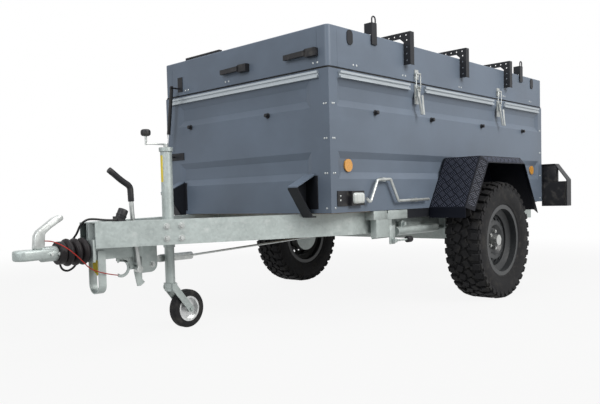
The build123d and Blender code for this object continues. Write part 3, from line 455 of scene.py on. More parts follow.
class Workbench:
    """Small modelling steps, each on one selected object."""

    @staticmethod
    def clear() -> None:
        """Deselect everything."""
        bpy.ops.object.select_all(action="DESELECT")

    @classmethod
    def pick(cls, obj: Piece) -> None:
        """Select one object alone and make it active.

        Args:
            obj: The object.
        """
        cls.clear()
        obj.select_set(True)
        bpy.context.view_layer.objects.active = obj

    @classmethod
    def settle(cls, obj: Piece) -> Piece:
        """Move an object's place into its mesh.

        Args:
            obj: The object.

        Returns:
            The same object, at the origin.
        """
        cls.pick(obj)
        bpy.ops.object.transform_apply(location=True, rotation=True, scale=True)
        return obj

    @classmethod
    def cube(cls, size: Point, at: Point) -> Piece:
        """Start a plain block.

        Args:
            size: Its three lengths.
            at: Its middle.

        Returns:
            The block.
        """
        cls.clear()
        bpy.ops.mesh.primitive_cube_add(size=1.0, location=at)
        block = bpy.context.object
        block.scale = size
        return cls.settle(block)

    @classmethod
    def put(cls, obj: Piece, place: Matrix) -> Piece:
        """Carry an object to its place and settle it there."""
        obj.matrix_world = place
        return cls.settle(obj)

    @classmethod
    def change(cls, obj: Piece, kind: str, **settings: object) -> Piece:
        """Add one modifier and apply it.

        Args:
            obj: The piece.
            kind: The modifier's type name.
            **settings: The modifier's properties.

        Returns:
            The same piece.
        """
        cls.pick(obj)
        modifier = obj.modifiers.new(kind.lower(), kind)
        for key, value in settings.items():
            setattr(modifier, key, value)
        bpy.ops.object.modifier_apply(modifier=modifier.name)
        return obj

    @classmethod
    def soften(cls, obj: Piece, width: float = EDGE, steps: int = 1) -> Piece:
        """Break an object's edges by one width, in some steps."""
        return cls.change(obj, "BEVEL", width=width, segments=steps, limit_method="ANGLE")

    @classmethod
    def block(cls, size: Point, at: Point, edge: float = EDGE, steps: int = 1) -> Piece:
        """Make a block with broken edges at one place."""
        return cls.soften(cls.cube(size, at), edge, steps)

    @classmethod
    def repeat(cls, obj: Piece, count: int, step: Point) -> None:
        """Repeat a piece along one step."""
        offset = {"use_constant_offset": True, "constant_offset_displace": step}
        cls.change(obj, "ARRAY", count=count, use_relative_offset=False, **offset)

    @classmethod
    def edit(cls, obj: Piece) -> None:
        """Open one object in edit mode with everything selected.

        Args:
            obj: The object.
        """
        cls.pick(obj)
        bpy.ops.object.mode_set(mode="EDIT")
        bpy.ops.mesh.select_all(action="SELECT")

    @staticmethod
    def close() -> None:
        """Weld the mesh in edit mode, turn its faces outwards and leave that mode."""
        bpy.ops.mesh.select_all(action="SELECT")
        bpy.ops.mesh.remove_doubles(threshold=WELD)
        bpy.ops.mesh.normals_make_consistent(inside=False)
        bpy.ops.object.mode_set(mode="OBJECT")

    @classmethod
    def trace(cls, corners: Sequence[Point]) -> Piece:
        """Draw edges from corner to corner and stay in edit mode.

        Args:
            corners: Places along the line.

        Returns:
            The line, all selected.
        """
        cls.clear()
        bpy.ops.mesh.primitive_plane_add(size=0.001)
        piece = bpy.context.object
        cls.edit(piece)
        bpy.ops.mesh.merge(type="CENTER")
        bpy.ops.transform.translate(value=corners[0])
        for here, there in zip(corners, corners[1:]):
            step = Vector(there) - Vector(here)
            bpy.ops.mesh.extrude_region_move(TRANSFORM_OT_translate={"value": step})
        bpy.ops.mesh.select_all(action="SELECT")
        return piece

    @classmethod
    def ring(cls, obj: Piece, count: int, centre: Point, axis: Point) -> None:
        """Repeat a piece round an axis.

        Args:
            obj: The piece, in place at its first station.
            count: Copies in the full turn.
            centre: Point on the axis.
            axis: Direction of the axis.
        """
        cls.edit(obj)
        turn = 2 * pi * (count - 1) / count
        bpy.ops.mesh.spin(steps=count - 1, dupli=True, angle=turn, center=centre, axis=axis)
        bpy.ops.object.mode_set(mode="OBJECT")

    @classmethod
    def plate(cls, outline: Sequence[Pair], thickness: float, place: Matrix) -> Piece:
        """Cut a plate from an outline.

        Args:
            outline: Corners in the plate's own plane.
            thickness: Thickness along its own Z.
            place: Matrix that carries the plate to its place.

        Returns:
            The closed plate.
        """
        piece = cls.trace([(x, y, 0.0) for x, y in (*outline, outline[0])])
        bpy.ops.mesh.remove_doubles(threshold=WELD)
        bpy.ops.mesh.edge_face_add()
        bpy.ops.mesh.extrude_region_move(TRANSFORM_OT_translate={"value": (0.0, 0.0, thickness)})
        cls.close()
        return cls.put(piece, place)

    @staticmethod
    def route(points: Sequence[Point], radius: float, name: str) -> Piece:
        """Lay a round smooth line through the air as a curve.

        Args:
            points: Control points of the line.
            radius: Radius of the round section.
            name: Name of the curve.

        Returns:
            The curve.
        """
        curve = bpy.data.curves.new(name, "CURVE")
        curve.dimensions = "3D"
        curve.bevel_depth = radius
        curve.bevel_resolution = 4
        curve.use_fill_caps = True
        spline = curve.splines.new("NURBS")
        spline.points.add(len(points) - 1)
        for spot, point in zip(spline.points, points):
            spot.co = (*point, 1.0)
        spline.order_u = 3
        spline.use_endpoint_u = True
        spline.resolution_u = 8
        line = bpy.data.objects.new(name, curve)
        bpy.context.collection.objects.link(line)
        return line

    @classmethod
    def bar(cls, points: Sequence[Point], radius: float) -> Piece:
        """Bend a round bar and make it a closed mesh.

        Args:
            points: Control points of its middle line.
            radius: Its radius.

        Returns:
            The bar.
        """
        cls.pick(cls.route(points, radius, "bar"))
        bpy.ops.object.convert(target="MESH")
        bpy.ops.object.mode_set(mode="EDIT")
        cls.close()
        return bpy.context.object

    @classmethod
    def trim(cls, piece: Piece, half: Pair) -> None:
        """Cut a flat piece down to a rectangle about the origin.

        Args:
            piece: The piece, flat in X and Y.
            half: Half the rectangle's length and width.
        """
        cls.edit(piece)
        for axis, size in ((Vector((1, 0, 0)), half[0]), (Vector((0, 1, 0)), half[1])):
            for way in SIDES:
                out = axis * way
                bpy.ops.mesh.select_all(action="SELECT")
                bpy.ops.mesh.bisect(plane_co=out * size, plane_no=out, clear_outer=True, use_fill=True)
        bpy.ops.object.mode_set(mode="OBJECT")

    @classmethod
    def carve(cls, piece: Piece, cutter: Piece) -> None:
        """Take the cutter's form out of a piece."""
        cls.change(piece, "BOOLEAN", operation="DIFFERENCE", object=cutter)
        bpy.data.objects.remove(cutter)

    @classmethod
    def join(cls, pieces: Sequence[Piece], name: str) -> Piece:
        """Join several pieces into one mesh.

        Args:
            pieces: The pieces; the first takes up the others.
            name: Name of the joined piece.

        Returns:
            The joined piece.
        """
        cls.pick(pieces[0])
        for piece in pieces:
            piece.select_set(True)
        if len(pieces) > 1:
            bpy.ops.object.join()
        pieces[0].name = name
        pieces[0].data.name = name
        return pieces[0]

    @classmethod
    def scatter(cls, model: Piece, places: Sequence[Matrix], name: str) -> Piece:
        """Copy one model to many places and join the copies.

        Args:
            model: The piece, modelled at the origin.
            places: One matrix for each copy.
            name: Name of the joined piece.

        Returns:
            The joined piece.
        """
        copies = []
        for place in places:
            copy = model.copy()
            copy.data = model.data.copy()
            copy.matrix_world = place
            bpy.context.collection.objects.link(copy)
            copies.append(copy)
        bpy.data.objects.remove(model, do_unlink=True)
        return cls.settle(cls.join(copies, name))

    @classmethod
    def revolve(cls, outline: Sequence[Pair], centre: Vector, steps: int) -> Piece:
        """Spin an outline round an axis along Y.

        Args:
            outline: Pairs of place along the axis and radius.
            centre: Middle of the axis.
            steps: Faces round the turn.

        Returns:
            The closed piece, faces outwards.
        """
        piece = cls.trace([centre + Vector((0.0, along, radius)) for along, radius in outline])
        bpy.ops.mesh.spin(steps=steps, angle=2 * pi, center=centre, axis=(0, 1, 0))
        cls.close()
        return piece


@dataclass(frozen=True)
class Drum:
    """Sizes of a round piece with broken edges."""

    radius: float
    depth: float
    sides: int
    edge: float
    steps: int = 1

    def turn(self, place: Matrix = Matrix()) -> Piece:
        """Turn the piece up from the ground plane and carry it to its place.

        Args:
            place: Matrix that carries it.

        Returns:
            The piece in its place.
        """
        Workbench.clear()
        bpy.ops.mesh.primitive_cylinder_add(
            vertices=self.sides, radius=self.radius, depth=self.depth, location=(0, 0, self.depth / 2)
        )
        piece = Workbench.settle(bpy.context.object)
        return Workbench.put(Workbench.soften(piece, self.edge, self.steps), place)


def facing(place: Point, normal: Point) -> Matrix:
    """Matrix that stands a piece on a face, its Z along the face's normal."""
    return Matrix.Translation(place) @ Vector(normal).to_track_quat("Z", "Y").to_matrix().to_4x4()


def axes(along: Vector, across: Vector, out: Vector) -> Matrix:
    """Matrix that turns X, Y and Z to three directions."""
    return Matrix((along, across, out)).transposed().to_4x4()


def upright(place: Point) -> Matrix:
    """Matrix that stands a plate along the trailer, its thickness to the right."""
    return Matrix.Translation(place) @ Matrix.Rotation(radians(90), 4, "X")


def crosswise(place: Point) -> Matrix:
    """Matrix that stands a plate across the trailer, its thickness forward."""
    turn = Matrix.Rotation(radians(90), 4, "Z") @ Matrix.Rotation(radians(90), 4, "X")
    return Matrix.Translation(place) @ turn


def on_sides(x: float, half: float, z: float) -> list[Matrix]:
    """Matrices that stand a piece on the left and the right side."""
    return [facing((x, side * half, z), (0, side, 0)) for side in SIDES]


def on_ends(box: Sequence[Point], y: float, z: float) -> list[Matrix]:
    """Matrices that stand a piece on the front and the rear of a box."""
    return [facing((face[0], y, z), (way, 0, 0)) for way, face in zip(SIDES, (box[1], box[0]))]


def arc(centre: Pair, radius: float, start: float, stop: float, steps: int) -> list[Pair]:
    """Points on a circle from one angle to another, in degrees."""
    angles = [radians(start + (stop - start) * step / steps) for step in range(steps + 1)]
    return [(centre[0] + radius * cos(angle), centre[1] + radius * sin(angle)) for angle in angles]


@dataclass
class Catalogue:
    """Keeps one material for each finish and dresses pieces with them."""

    materials: dict[str, bpy.types.Material] = field(default_factory=dict)

    def __post_init__(self) -> None:
        """Make each finish once."""
        for slot, finish in FINISHES.items():
            self.materials[slot] = finish.material()

    def dress_nodes(self) -> None:
        """Give every node of the frame its own finish."""
        for subpart in frame["record"]["subparts"]:
            node = frame["nodes"][subpart["node"]]
            for socket in node.material_slots:
                socket.material = self.materials[subpart["material_slot"]]

    def add(
        self,
        piece: Piece,
        slot: Slot,
        body: str = "chassis",
        smooth: float = 40.0,
        finish: Finish | None = None,
    ) -> Piece:
        """Finish a new piece and let it ride.

        Args:
            piece: The new piece.
            slot: Slot that its finish comes from.
            body: Body that carries it.
            smooth: Angle under which edges are shaded smooth, in degrees.
            finish: Finish of its own in place of the slot's.

        Returns:
            The same piece.
        """
        piece.data.materials.clear()
        piece.data.materials.append(finish.material() if finish else self.materials[slot.value])
        if piece.type == "MESH":
            Workbench.pick(piece)
            bpy.ops.object.shade_smooth_by_angle(angle=radians(smooth))
        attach(piece, body)
        LOG.info("%s rides on %s", piece.name, body)
        return piece


@dataclass(frozen=True)
class Viewpoint:
    """The camera, with the place and lens that the photograph gives."""

    place: Point = (3.244, 2.709, 0.669)
    yaw: float = -135.52
    pitch: float = -2.74
    roll: float = -1.59
    lens: float = 39.16
    sensor: float = 36.0
    shift: Pair = (0.056, 0.0453)

    def build(self) -> None:
        """Set the camera up."""
        yaw, pitch, roll = radians(self.yaw), radians(self.pitch), radians(self.roll)
        ahead = Vector((cos(yaw) * cos(pitch), sin(yaw) * cos(pitch), sin(pitch)))
        level = Vector((sin(yaw), -cos(yaw), 0.0))
        above = level.cross(ahead)
        right = cos(roll) * level + sin(roll) * above
        up = cos(roll) * above - sin(roll) * level
        data = bpy.data.cameras.new("camera")
        data.lens = self.lens
        data.sensor_width = self.sensor
        data.sensor_fit = "HORIZONTAL"
        data.shift_x, data.shift_y = self.shift
        camera = bpy.data.objects.new("camera", data)
        camera.matrix_world = Matrix.Translation(self.place) @ axes(right, up, -ahead)
        bpy.context.collection.objects.link(camera)
        bpy.context.scene.camera = camera


@dataclass(frozen=True)
class Lamp:
    """One large soft lamp."""

    name: str
    place: Point
    size: float
    power: float
    color: Color = (1.0, 1.0, 1.0)
    target: Point = (-0.2, 0.0, 0.8)

    def build(self) -> None:
        """Hang the lamp, aimed at the middle of the trailer."""
        data = bpy.data.lights.new(self.name, "AREA")
        data.size = self.size
        data.energy = self.power
        data.color = self.color
        lamp = bpy.data.objects.new(self.name, data)
        aim = Vector(self.target) - Vector(self.place)
        turn = aim.to_track_quat("-Z", "Y").to_matrix().to_4x4()
        lamp.matrix_world = Matrix.Translation(self.place) @ turn
        bpy.context.collection.objects.link(lamp)


@dataclass(frozen=True)
class Studio:
    """Pale floor, white surroundings and soft lamps."""

    floor_half: float = 30.0
    floor_thick: float = 0.1
    floor_color: Color = (0.26, 0.26, 0.25)
    floor_white: float = 0.90
    fade: Pair = (2.6, 6.5)
    ambient: Color = (0.93, 0.97, 1.0)
    ambient_strength: float = 0.34
    lamps: tuple[Lamp, ...] = (
        Lamp("key_lamp", (-0.6, 6.2, 4.6), 3.6, 450.0, (1.0, 0.98, 0.95)),
        Lamp("front_lamp", (6.4, 1.2, 3.8), 3.0, 190.0, (0.96, 0.98, 1.0)),
        Lamp("top_lamp", (0.6, 0.6, 6.0), 5.0, 210.0),
    )

    def build(self) -> None:
        """Lay the floor, light the world and hang the lamps."""
        self.lay_floor()
        self.light_world()
        for lamp in self.lamps:
            lamp.build()

    def lay_floor(self) -> None:
        """Lay one pale slab under the wheels that fades into the white surroundings."""
        wide = 2 * self.floor_half
        floor = Workbench.cube((wide, wide, self.floor_thick), (0.0, 0.0, -self.floor_thick / 2))
        floor.name = "floor"
        book = NodeBook("pale_floor")
        grain = book.noise(3.0, 4.0)
        tint = book.mix(grain, scaled(self.floor_color, 0.98), self.floor_color)
        floor.data.materials.append(book.surface(Base_Color=tint, Roughness=0.9, Specular_IOR_Level=0.2))
        away = book.node("ShaderNodeVectorMath", {"operation": "LENGTH"}, {0: book.place()}, "Value")
        far = away.between(*self.fade)
        book.glow(book.seen() * (self.floor_white + (1 - self.floor_white) * far))

    def light_world(self) -> None:
        """White to the camera and in reflections, a soft blue-white fill elsewhere."""
        book = NodeBook("studio", world=True)
        bpy.context.scene.world = book.surface(Color=self.ambient, Strength=self.ambient_strength)
        book.glow(book.seen())


@dataclass
class RoadWheel:
    """One road wheel's tyre with its open tread, and its valve."""

    catalogue: Catalogue
    side: str
    sign: int
    radius: float = 0.365
    tread_deep: float = 0.013
    pitches: int = 36
    steps: int = 108
    smooth: float = 32.0
    block_edge: float = 0.0022
    wall: Outline = (
        (0.0885, 0.2036), (0.0955, 0.2230), (0.1010, 0.2300), (0.1010, 0.2370), (0.1075, 0.2520),
        (0.1110, 0.2760), (0.1118, 0.2960), (0.1105, 0.3180), (0.1070, 0.3340),
    )
    valve_place: Pair = (0.166, 0.030)
    valve_turn: float = 0.6
    stem: Drum = Drum(0.0045, 0.030, 12, 0.0012)
    foot: Drum = Drum(0.0075, 0.010, 16, 0.0016)

    def build(self) -> None:
        """Model the tyre and the valve in the rim."""
        self.centre = joint_place(f"wheel_{self.side}_spin")
        self.tyre()
        self.valve()

    def carcass(self) -> Piece:
        """Spin the tyre's outline from bead to bead.

        Returns:
            The closed carcass.
        """
        deep = self.radius - self.tread_deep
        wall = (*self.wall, (0.1010, deep - 0.005), (0.0600, deep))
        outline = [(-along, radius) for along, radius in wall]
        outline += [(along, radius) for along, radius in reversed(wall)]
        outline += [(-along, radius) for along, radius in wall[:1]]
        return Workbench.revolve(outline, self.centre, self.steps)

    def block(
        self, size: Point, along: float, radius: float, turn: float, tilt: float, ahead: float
    ) -> Piece:
        """Model one tread block.

        Args:
            size: Length round the tyre, width across it and height.
            along: Middle of the block across the tyre.
            radius: Radius of its middle.
            turn: Slant on the tread in degrees.
            tilt: Lean towards the shoulder in degrees.
            ahead: Shift round the tyre as a share of the pitch.

        Returns:
            The block at its first station.
        """
        angle = 2 * pi / self.pitches * ahead
        place = (
            Matrix.Translation(self.centre)
            @ Matrix.Rotation(angle, 4, "Y")
            @ Matrix.Translation((0.0, along, radius))
            @ Matrix.Rotation(radians(tilt), 4, "X")
            @ Matrix.Rotation(radians(turn), 4, "Z")
        )
        return Workbench.put(Workbench.block(size, ORIGIN, self.block_edge), place)

    def tyre(self) -> None:
        """Join carcass and tread, and put them in the solid's place."""
        deep = self.tread_deep
        crown = self.radius - deep / 2 - 0.001
        # Size, place across, radius, slant, lean and shift of each row
        rows = (
            ((0.046, 0.036, deep + 0.004), 0.024, crown, 24, 0, 0.0),
            ((0.024, 0.020, deep + 0.003), 0.052, crown - 0.001, -20, 0, 0.42),
            ((0.040, 0.042, deep + 0.006), 0.081, crown - 0.004, -6, -11, 0.30),
            ((0.036, 0.010, 0.036), 0.1055, 0.336, 0, -9, 0.30),
            ((0.018, 0.008, 0.020), 0.1075, 0.326, 0, -6, 0.80),
        )
        blocks = []
        for way, shift in ((1, 0.0), (-1, 0.5)):
            for size, along, radius, turn, tilt, ahead in rows:
                blocks.append(self.block(size, way * along, radius, way * turn, way * tilt, shift + ahead))
        tread = Workbench.join(blocks, f"tread_{self.side}")
        Workbench.ring(tread, self.pitches, self.centre, (0, 1, 0))
        tyre = Workbench.join([self.carcass(), tread], f"road_tyre_{self.side}")
        self.catalogue.add(tyre, Slot.TYRE, f"wheel_{self.side}", self.smooth)
        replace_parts(tyre, f"tyre_{self.side}")

    def valve(self) -> None:
        """Model the rubber valve in the rim."""
        valve = Workbench.join([self.stem.turn(), self.foot.turn()], f"valve_{self.side}")
        radius, out = self.valve_place
        spot = Vector((radius * sin(self.valve_turn), self.sign * out, radius * cos(self.valve_turn)))
        Workbench.put(valve, facing(self.centre + spot, (0.0, self.sign, 0.0)))
        self.catalogue.add(valve, Slot.PLASTIC, f"wheel_{self.side}")


@dataclass
class FenderPlate:
    """Sloping lip and raised bars of the tread plate on both fenders."""

    catalogue: Catalogue
    cell: float = 0.040
    bar: Point = (0.031, 0.0038, 0.0022)
    bars: int = 4
    slope: float = 0.042
    sheet_thick: float = 0.003
    lip_thick: float = 0.002
    margin: float = 0.006
    sunk: float = 0.0003
    taper: Pair = (0.82, 0.45)
    slope_share: float = 0.55
    smooth: float = 25.0
    corners: Outline = ((0.455, 0.583), (0.262, 0.885), (-0.300, 0.885), (-0.520, 0.540))

    def build(self) -> None:
        """Cover the top and both slopes of each fender."""
        self.inner = BOX_HIGH[1] + self.sheet_thick
        self.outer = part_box("fenders")[1][1] - self.slope
        places = [Vector((AXLE_X + x, 0.0, z)) for x, z in self.corners]
        bars, lips = [], []
        for index in range(len(places) - 1):
            for sign in SIDES:
                start, stop = places[index], places[index + 1]
                run = stop - start
                up = Vector((run.z, 0.0, -run.x)).normalized()
                side = Vector((0.0, sign, 0.0))
                middle = (start + stop) / 2
                flat = (run.length / 2 - self.margin, (self.outer - self.inner) / 2 - self.margin)
                bars.append(self.sheet(run, up, middle + side * (self.inner + self.outer) / 2, flat))
                fold = middle + side * (self.outer + self.slope / 2) - up * self.slope / 2
                narrow = (run.length / 2 - 4 * self.margin, self.slope * self.slope_share)
                bars.append(self.sheet(run, (up + side).normalized(), fold, narrow))
                lips.append(self.lip(places, index, sign))
        plate = Workbench.join(bars, "fender_tread_bars")
        # The bars take the lighter finish, a painted highlight on their tops.
        self.catalogue.add(plate, Slot.TREAD_PLATE, smooth=self.smooth, finish=BARS_PAINTED_HIGHLIGHT)
        self.catalogue.add(Workbench.join(lips, "fender_lips"), Slot.TREAD_PLATE, smooth=self.smooth)

    def lip(self, places: Sequence[Vector], index: int, sign: int) -> Piece:
        """Fold the sloping lip along one stretch, mitred at the bends.

        Args:
            places: Corners of the fender's outline.
            index: Stretch to cover.
            sign: Side of the trailer.

        Returns:
            The lip's plate.
        """
        start, stop = places[index], places[index + 1]
        run = (stop - start).normalized()
        inward = Vector((-run.z, 0.0, run.x))
        mitres = []
        for bend in (index - 1, index + 1):
            other = (places[bend + 1] - places[bend]).normalized() if 0 <= bend < len(places) - 1 else run
            mitres.append(self.slope * tan(run.angle(other) / 2))
        across = (inward + Vector((0.0, sign, 0.0))).normalized()
        wide = self.slope * 2 ** 0.5
        long = (stop - start).length
        outline = ((0.0, 0.0), (long, 0.0), (long - mitres[1], wide), (mitres[0], wide))
        edge = Matrix.Translation(start + Vector((0.0, sign * self.outer, 0.0)))
        return Workbench.plate(outline, self.lip_thick, edge @ axes(run, across, run.cross(across)))

    def one_bar(self) -> Piece:
        """Model one raised bar with sloping sides.

        Returns:
            The bar, at the origin.
        """
        bar = Workbench.cube(self.bar, (0.0, 0.0, self.bar[2] / 2 - self.sunk))
        Workbench.edit(bar)
        bpy.ops.mesh.select_all(action="DESELECT")
        bpy.ops.object.mode_set(mode="OBJECT")
        for vertex in bar.data.vertices:
            vertex.select = vertex.co.z > self.bar[2] / 2
        bpy.ops.object.mode_set(mode="EDIT")
        bpy.ops.transform.resize(value=(*self.taper, 1.0), center_override=ORIGIN)
        bpy.ops.object.mode_set(mode="OBJECT")
        return bar

    def tile(self) -> Piece:
        """Lay four groups of bars, crossed like a chessboard.

        Returns:
            The joined bars.
        """
        group = self.one_bar()
        pitch = self.cell / self.bars
        Workbench.repeat(group, self.bars, (0.0, pitch, 0.0))
        centred = Matrix.Translation((0.0, -pitch * (self.bars - 1) / 2, 0.0))
        half = self.cell / 2
        places = []
        for column in (-1, 1):
            for row in (-1, 1):
                turn = 0.0 if column == row else 90.0
                spin = Matrix.Rotation(radians(turn), 4, "Z")
                places.append(Matrix.Translation((column * half, row * half, 0.0)) @ spin @ centred)
        return Workbench.scatter(group, places, "tile")

    def sheet(self, run: Vector, out: Vector, centre: Vector, half: Pair) -> Piece:
        """Lay tiles slantwise over one flat stretch of a fender.

        Args:
            run: Direction along the stretch.
            out: Direction the bars stand up in.
            centre: Middle of the stretch.
            half: Half the length and half the width to cover.

        Returns:
            The bars of that stretch.
        """
        tile_size = 2 * self.cell
        count = int(2 * (half[0] + half[1]) / tile_size) + 2
        tile = self.tile()
        Workbench.repeat(tile, count, (tile_size, 0.0, 0.0))
        Workbench.repeat(tile, count, (0.0, tile_size, 0.0))
        middle = -tile_size * (count - 1) / 2
        Workbench.put(tile, Matrix.Rotation(radians(45), 4, "Z") @ Matrix.Translation((middle, middle, 0.0)))
        Workbench.trim(tile, half)
        along = run.normalized()
        return Workbench.put(tile, Matrix.Translation(centre) @ axes(along, out.cross(along), out))


@dataclass
class Coupling:
    """Coupling head with its lever, and the bellows behind it."""

    catalogue: Catalogue
    socket_back: float = 0.046
    head_radius: float = 0.046
    head_edge: float = 0.010
    head_sweep: float = 80.0
    cheeks: Outline = ((-0.085, 0.034), (-0.130, 0.031), (-0.130, -0.031), (-0.085, -0.034))
    ball: Drum = Drum(0.0252, 0.046, 32, 0.012, 3)
    ball_deep: float = 0.034
    neck: Drum = Drum(0.034, 0.075, 28, 0.004, 2)
    shaft: float = 0.025
    overlap: float = 0.02
    bolt_backs: Pair = (0.115, 0.150)
    bolt_out: float = 0.031
    bolt: float = 0.008
    head_tall: float = 0.046
    head_drop: float = 0.022
    lever_wide: float = 0.032
    lever_edge: float = 0.006
    lever_shape: Outline = (
        (-0.044, 0.0), (-0.050, 0.060), (-0.064, 0.082), (-0.139, 0.134), (-0.172, 0.146),
        (-0.186, 0.142), (-0.188, 0.126), (-0.127, 0.090), (-0.098, 0.066), (-0.092, 0.0),
    )
    fold: float = 0.039
    crest: float = 0.063
    root: float = 0.040
    bore: float = 0.026
    collar: Pair = (0.052, 0.1477)
    sides: int = 40
    folds: int = 3
    fold_steps: int = 8
    bulge: float = 0.7
    collar_gap: float = 0.002
    collar_edge: float = 0.003

    def build(self) -> None:
        """Model the head, its lever and the bellows."""
        self.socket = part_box("coupling_head")[1][0] - self.socket_back
        self.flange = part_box("drawbar_bellows")[0][0]
        self.head()
        self.lever()
        self.bellows()

    def head(self) -> None:
        """Round the cap over the ball, with a neck and bolt bosses behind it."""
        outline = arc((0.0, 0.0), self.head_radius, -self.head_sweep, self.head_sweep, 16)
        outline += self.cheeks
        low = SHAFT_Z - self.head_drop
        cap = Workbench.plate(outline, self.head_tall, Matrix.Translation((self.socket, 0.0, low)))
        Workbench.soften(cap, self.head_edge, 3)
        hole = Matrix.Translation((self.socket, 0.0, low - self.ball.depth + self.ball_deep))
        Workbench.carve(cap, self.ball.turn(hole))
        end = self.collar[1]
        neck = self.neck.turn(facing((self.flange + end, 0.0, SHAFT_Z), (1, 0, 0)))
        shaft = Drum(self.shaft, end + self.overlap, 24, 0.002)
        shaft = shaft.turn(facing((self.flange, 0.0, SHAFT_Z), (1, 0, 0)))
        head = Workbench.join([cap, neck, shaft], "coupling_cap")
        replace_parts(self.catalogue.add(head, Slot.GALVANISED), "coupling_head")
        places = []
        for back in self.bolt_backs:
            places += on_sides(self.socket - back, self.bolt_out, SHAFT_Z)
        bolts = Workbench.scatter(Fasteners.bolt(self.bolt), places, "coupling_bolts")
        self.catalogue.add(bolts, Slot.ZINC)

    def lever(self) -> None:
        """Bend the locking lever up and back over the shaft."""
        top = SHAFT_Z - self.head_drop + self.head_tall
        place = upright((self.socket, self.lever_wide / 2, top))
        lever = Workbench.plate(self.lever_shape, self.lever_wide, place)
        Workbench.soften(lever, self.lever_edge, 3)
        lever.name = "coupling_grip"
        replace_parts(self.catalogue.add(lever, Slot.ZINC), "coupling_lever")

    def bellows(self) -> None:
        """Revolve three round folds and the front collar."""
        outline = [(0.0, self.bore)]
        for index in range(self.folds):
            for step in range(self.fold_steps + 1):
                share = step / self.fold_steps
                swell = sin(pi * share) ** self.bulge
                outline.append(((index + share) * self.fold, self.root + (self.crest - self.root) * swell))
        (front, end), edge = self.collar, self.collar_edge
        outline += [(self.folds * self.fold + self.collar_gap, front), (end - edge, front)]
        outline += [(end, front - edge), (end, self.bore), outline[0]]
        piece = Workbench.revolve(outline, Vector(ORIGIN), self.sides)
        quarter = Matrix.Rotation(radians(-90), 4, "Z")
        Workbench.put(piece, Matrix.Translation((self.flange, 0.0, SHAFT_Z)) @ quarter)
        piece.name = "shaft_bellows"
        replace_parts(self.catalogue.add(piece, Slot.BELLOWS), "drawbar_bellows")


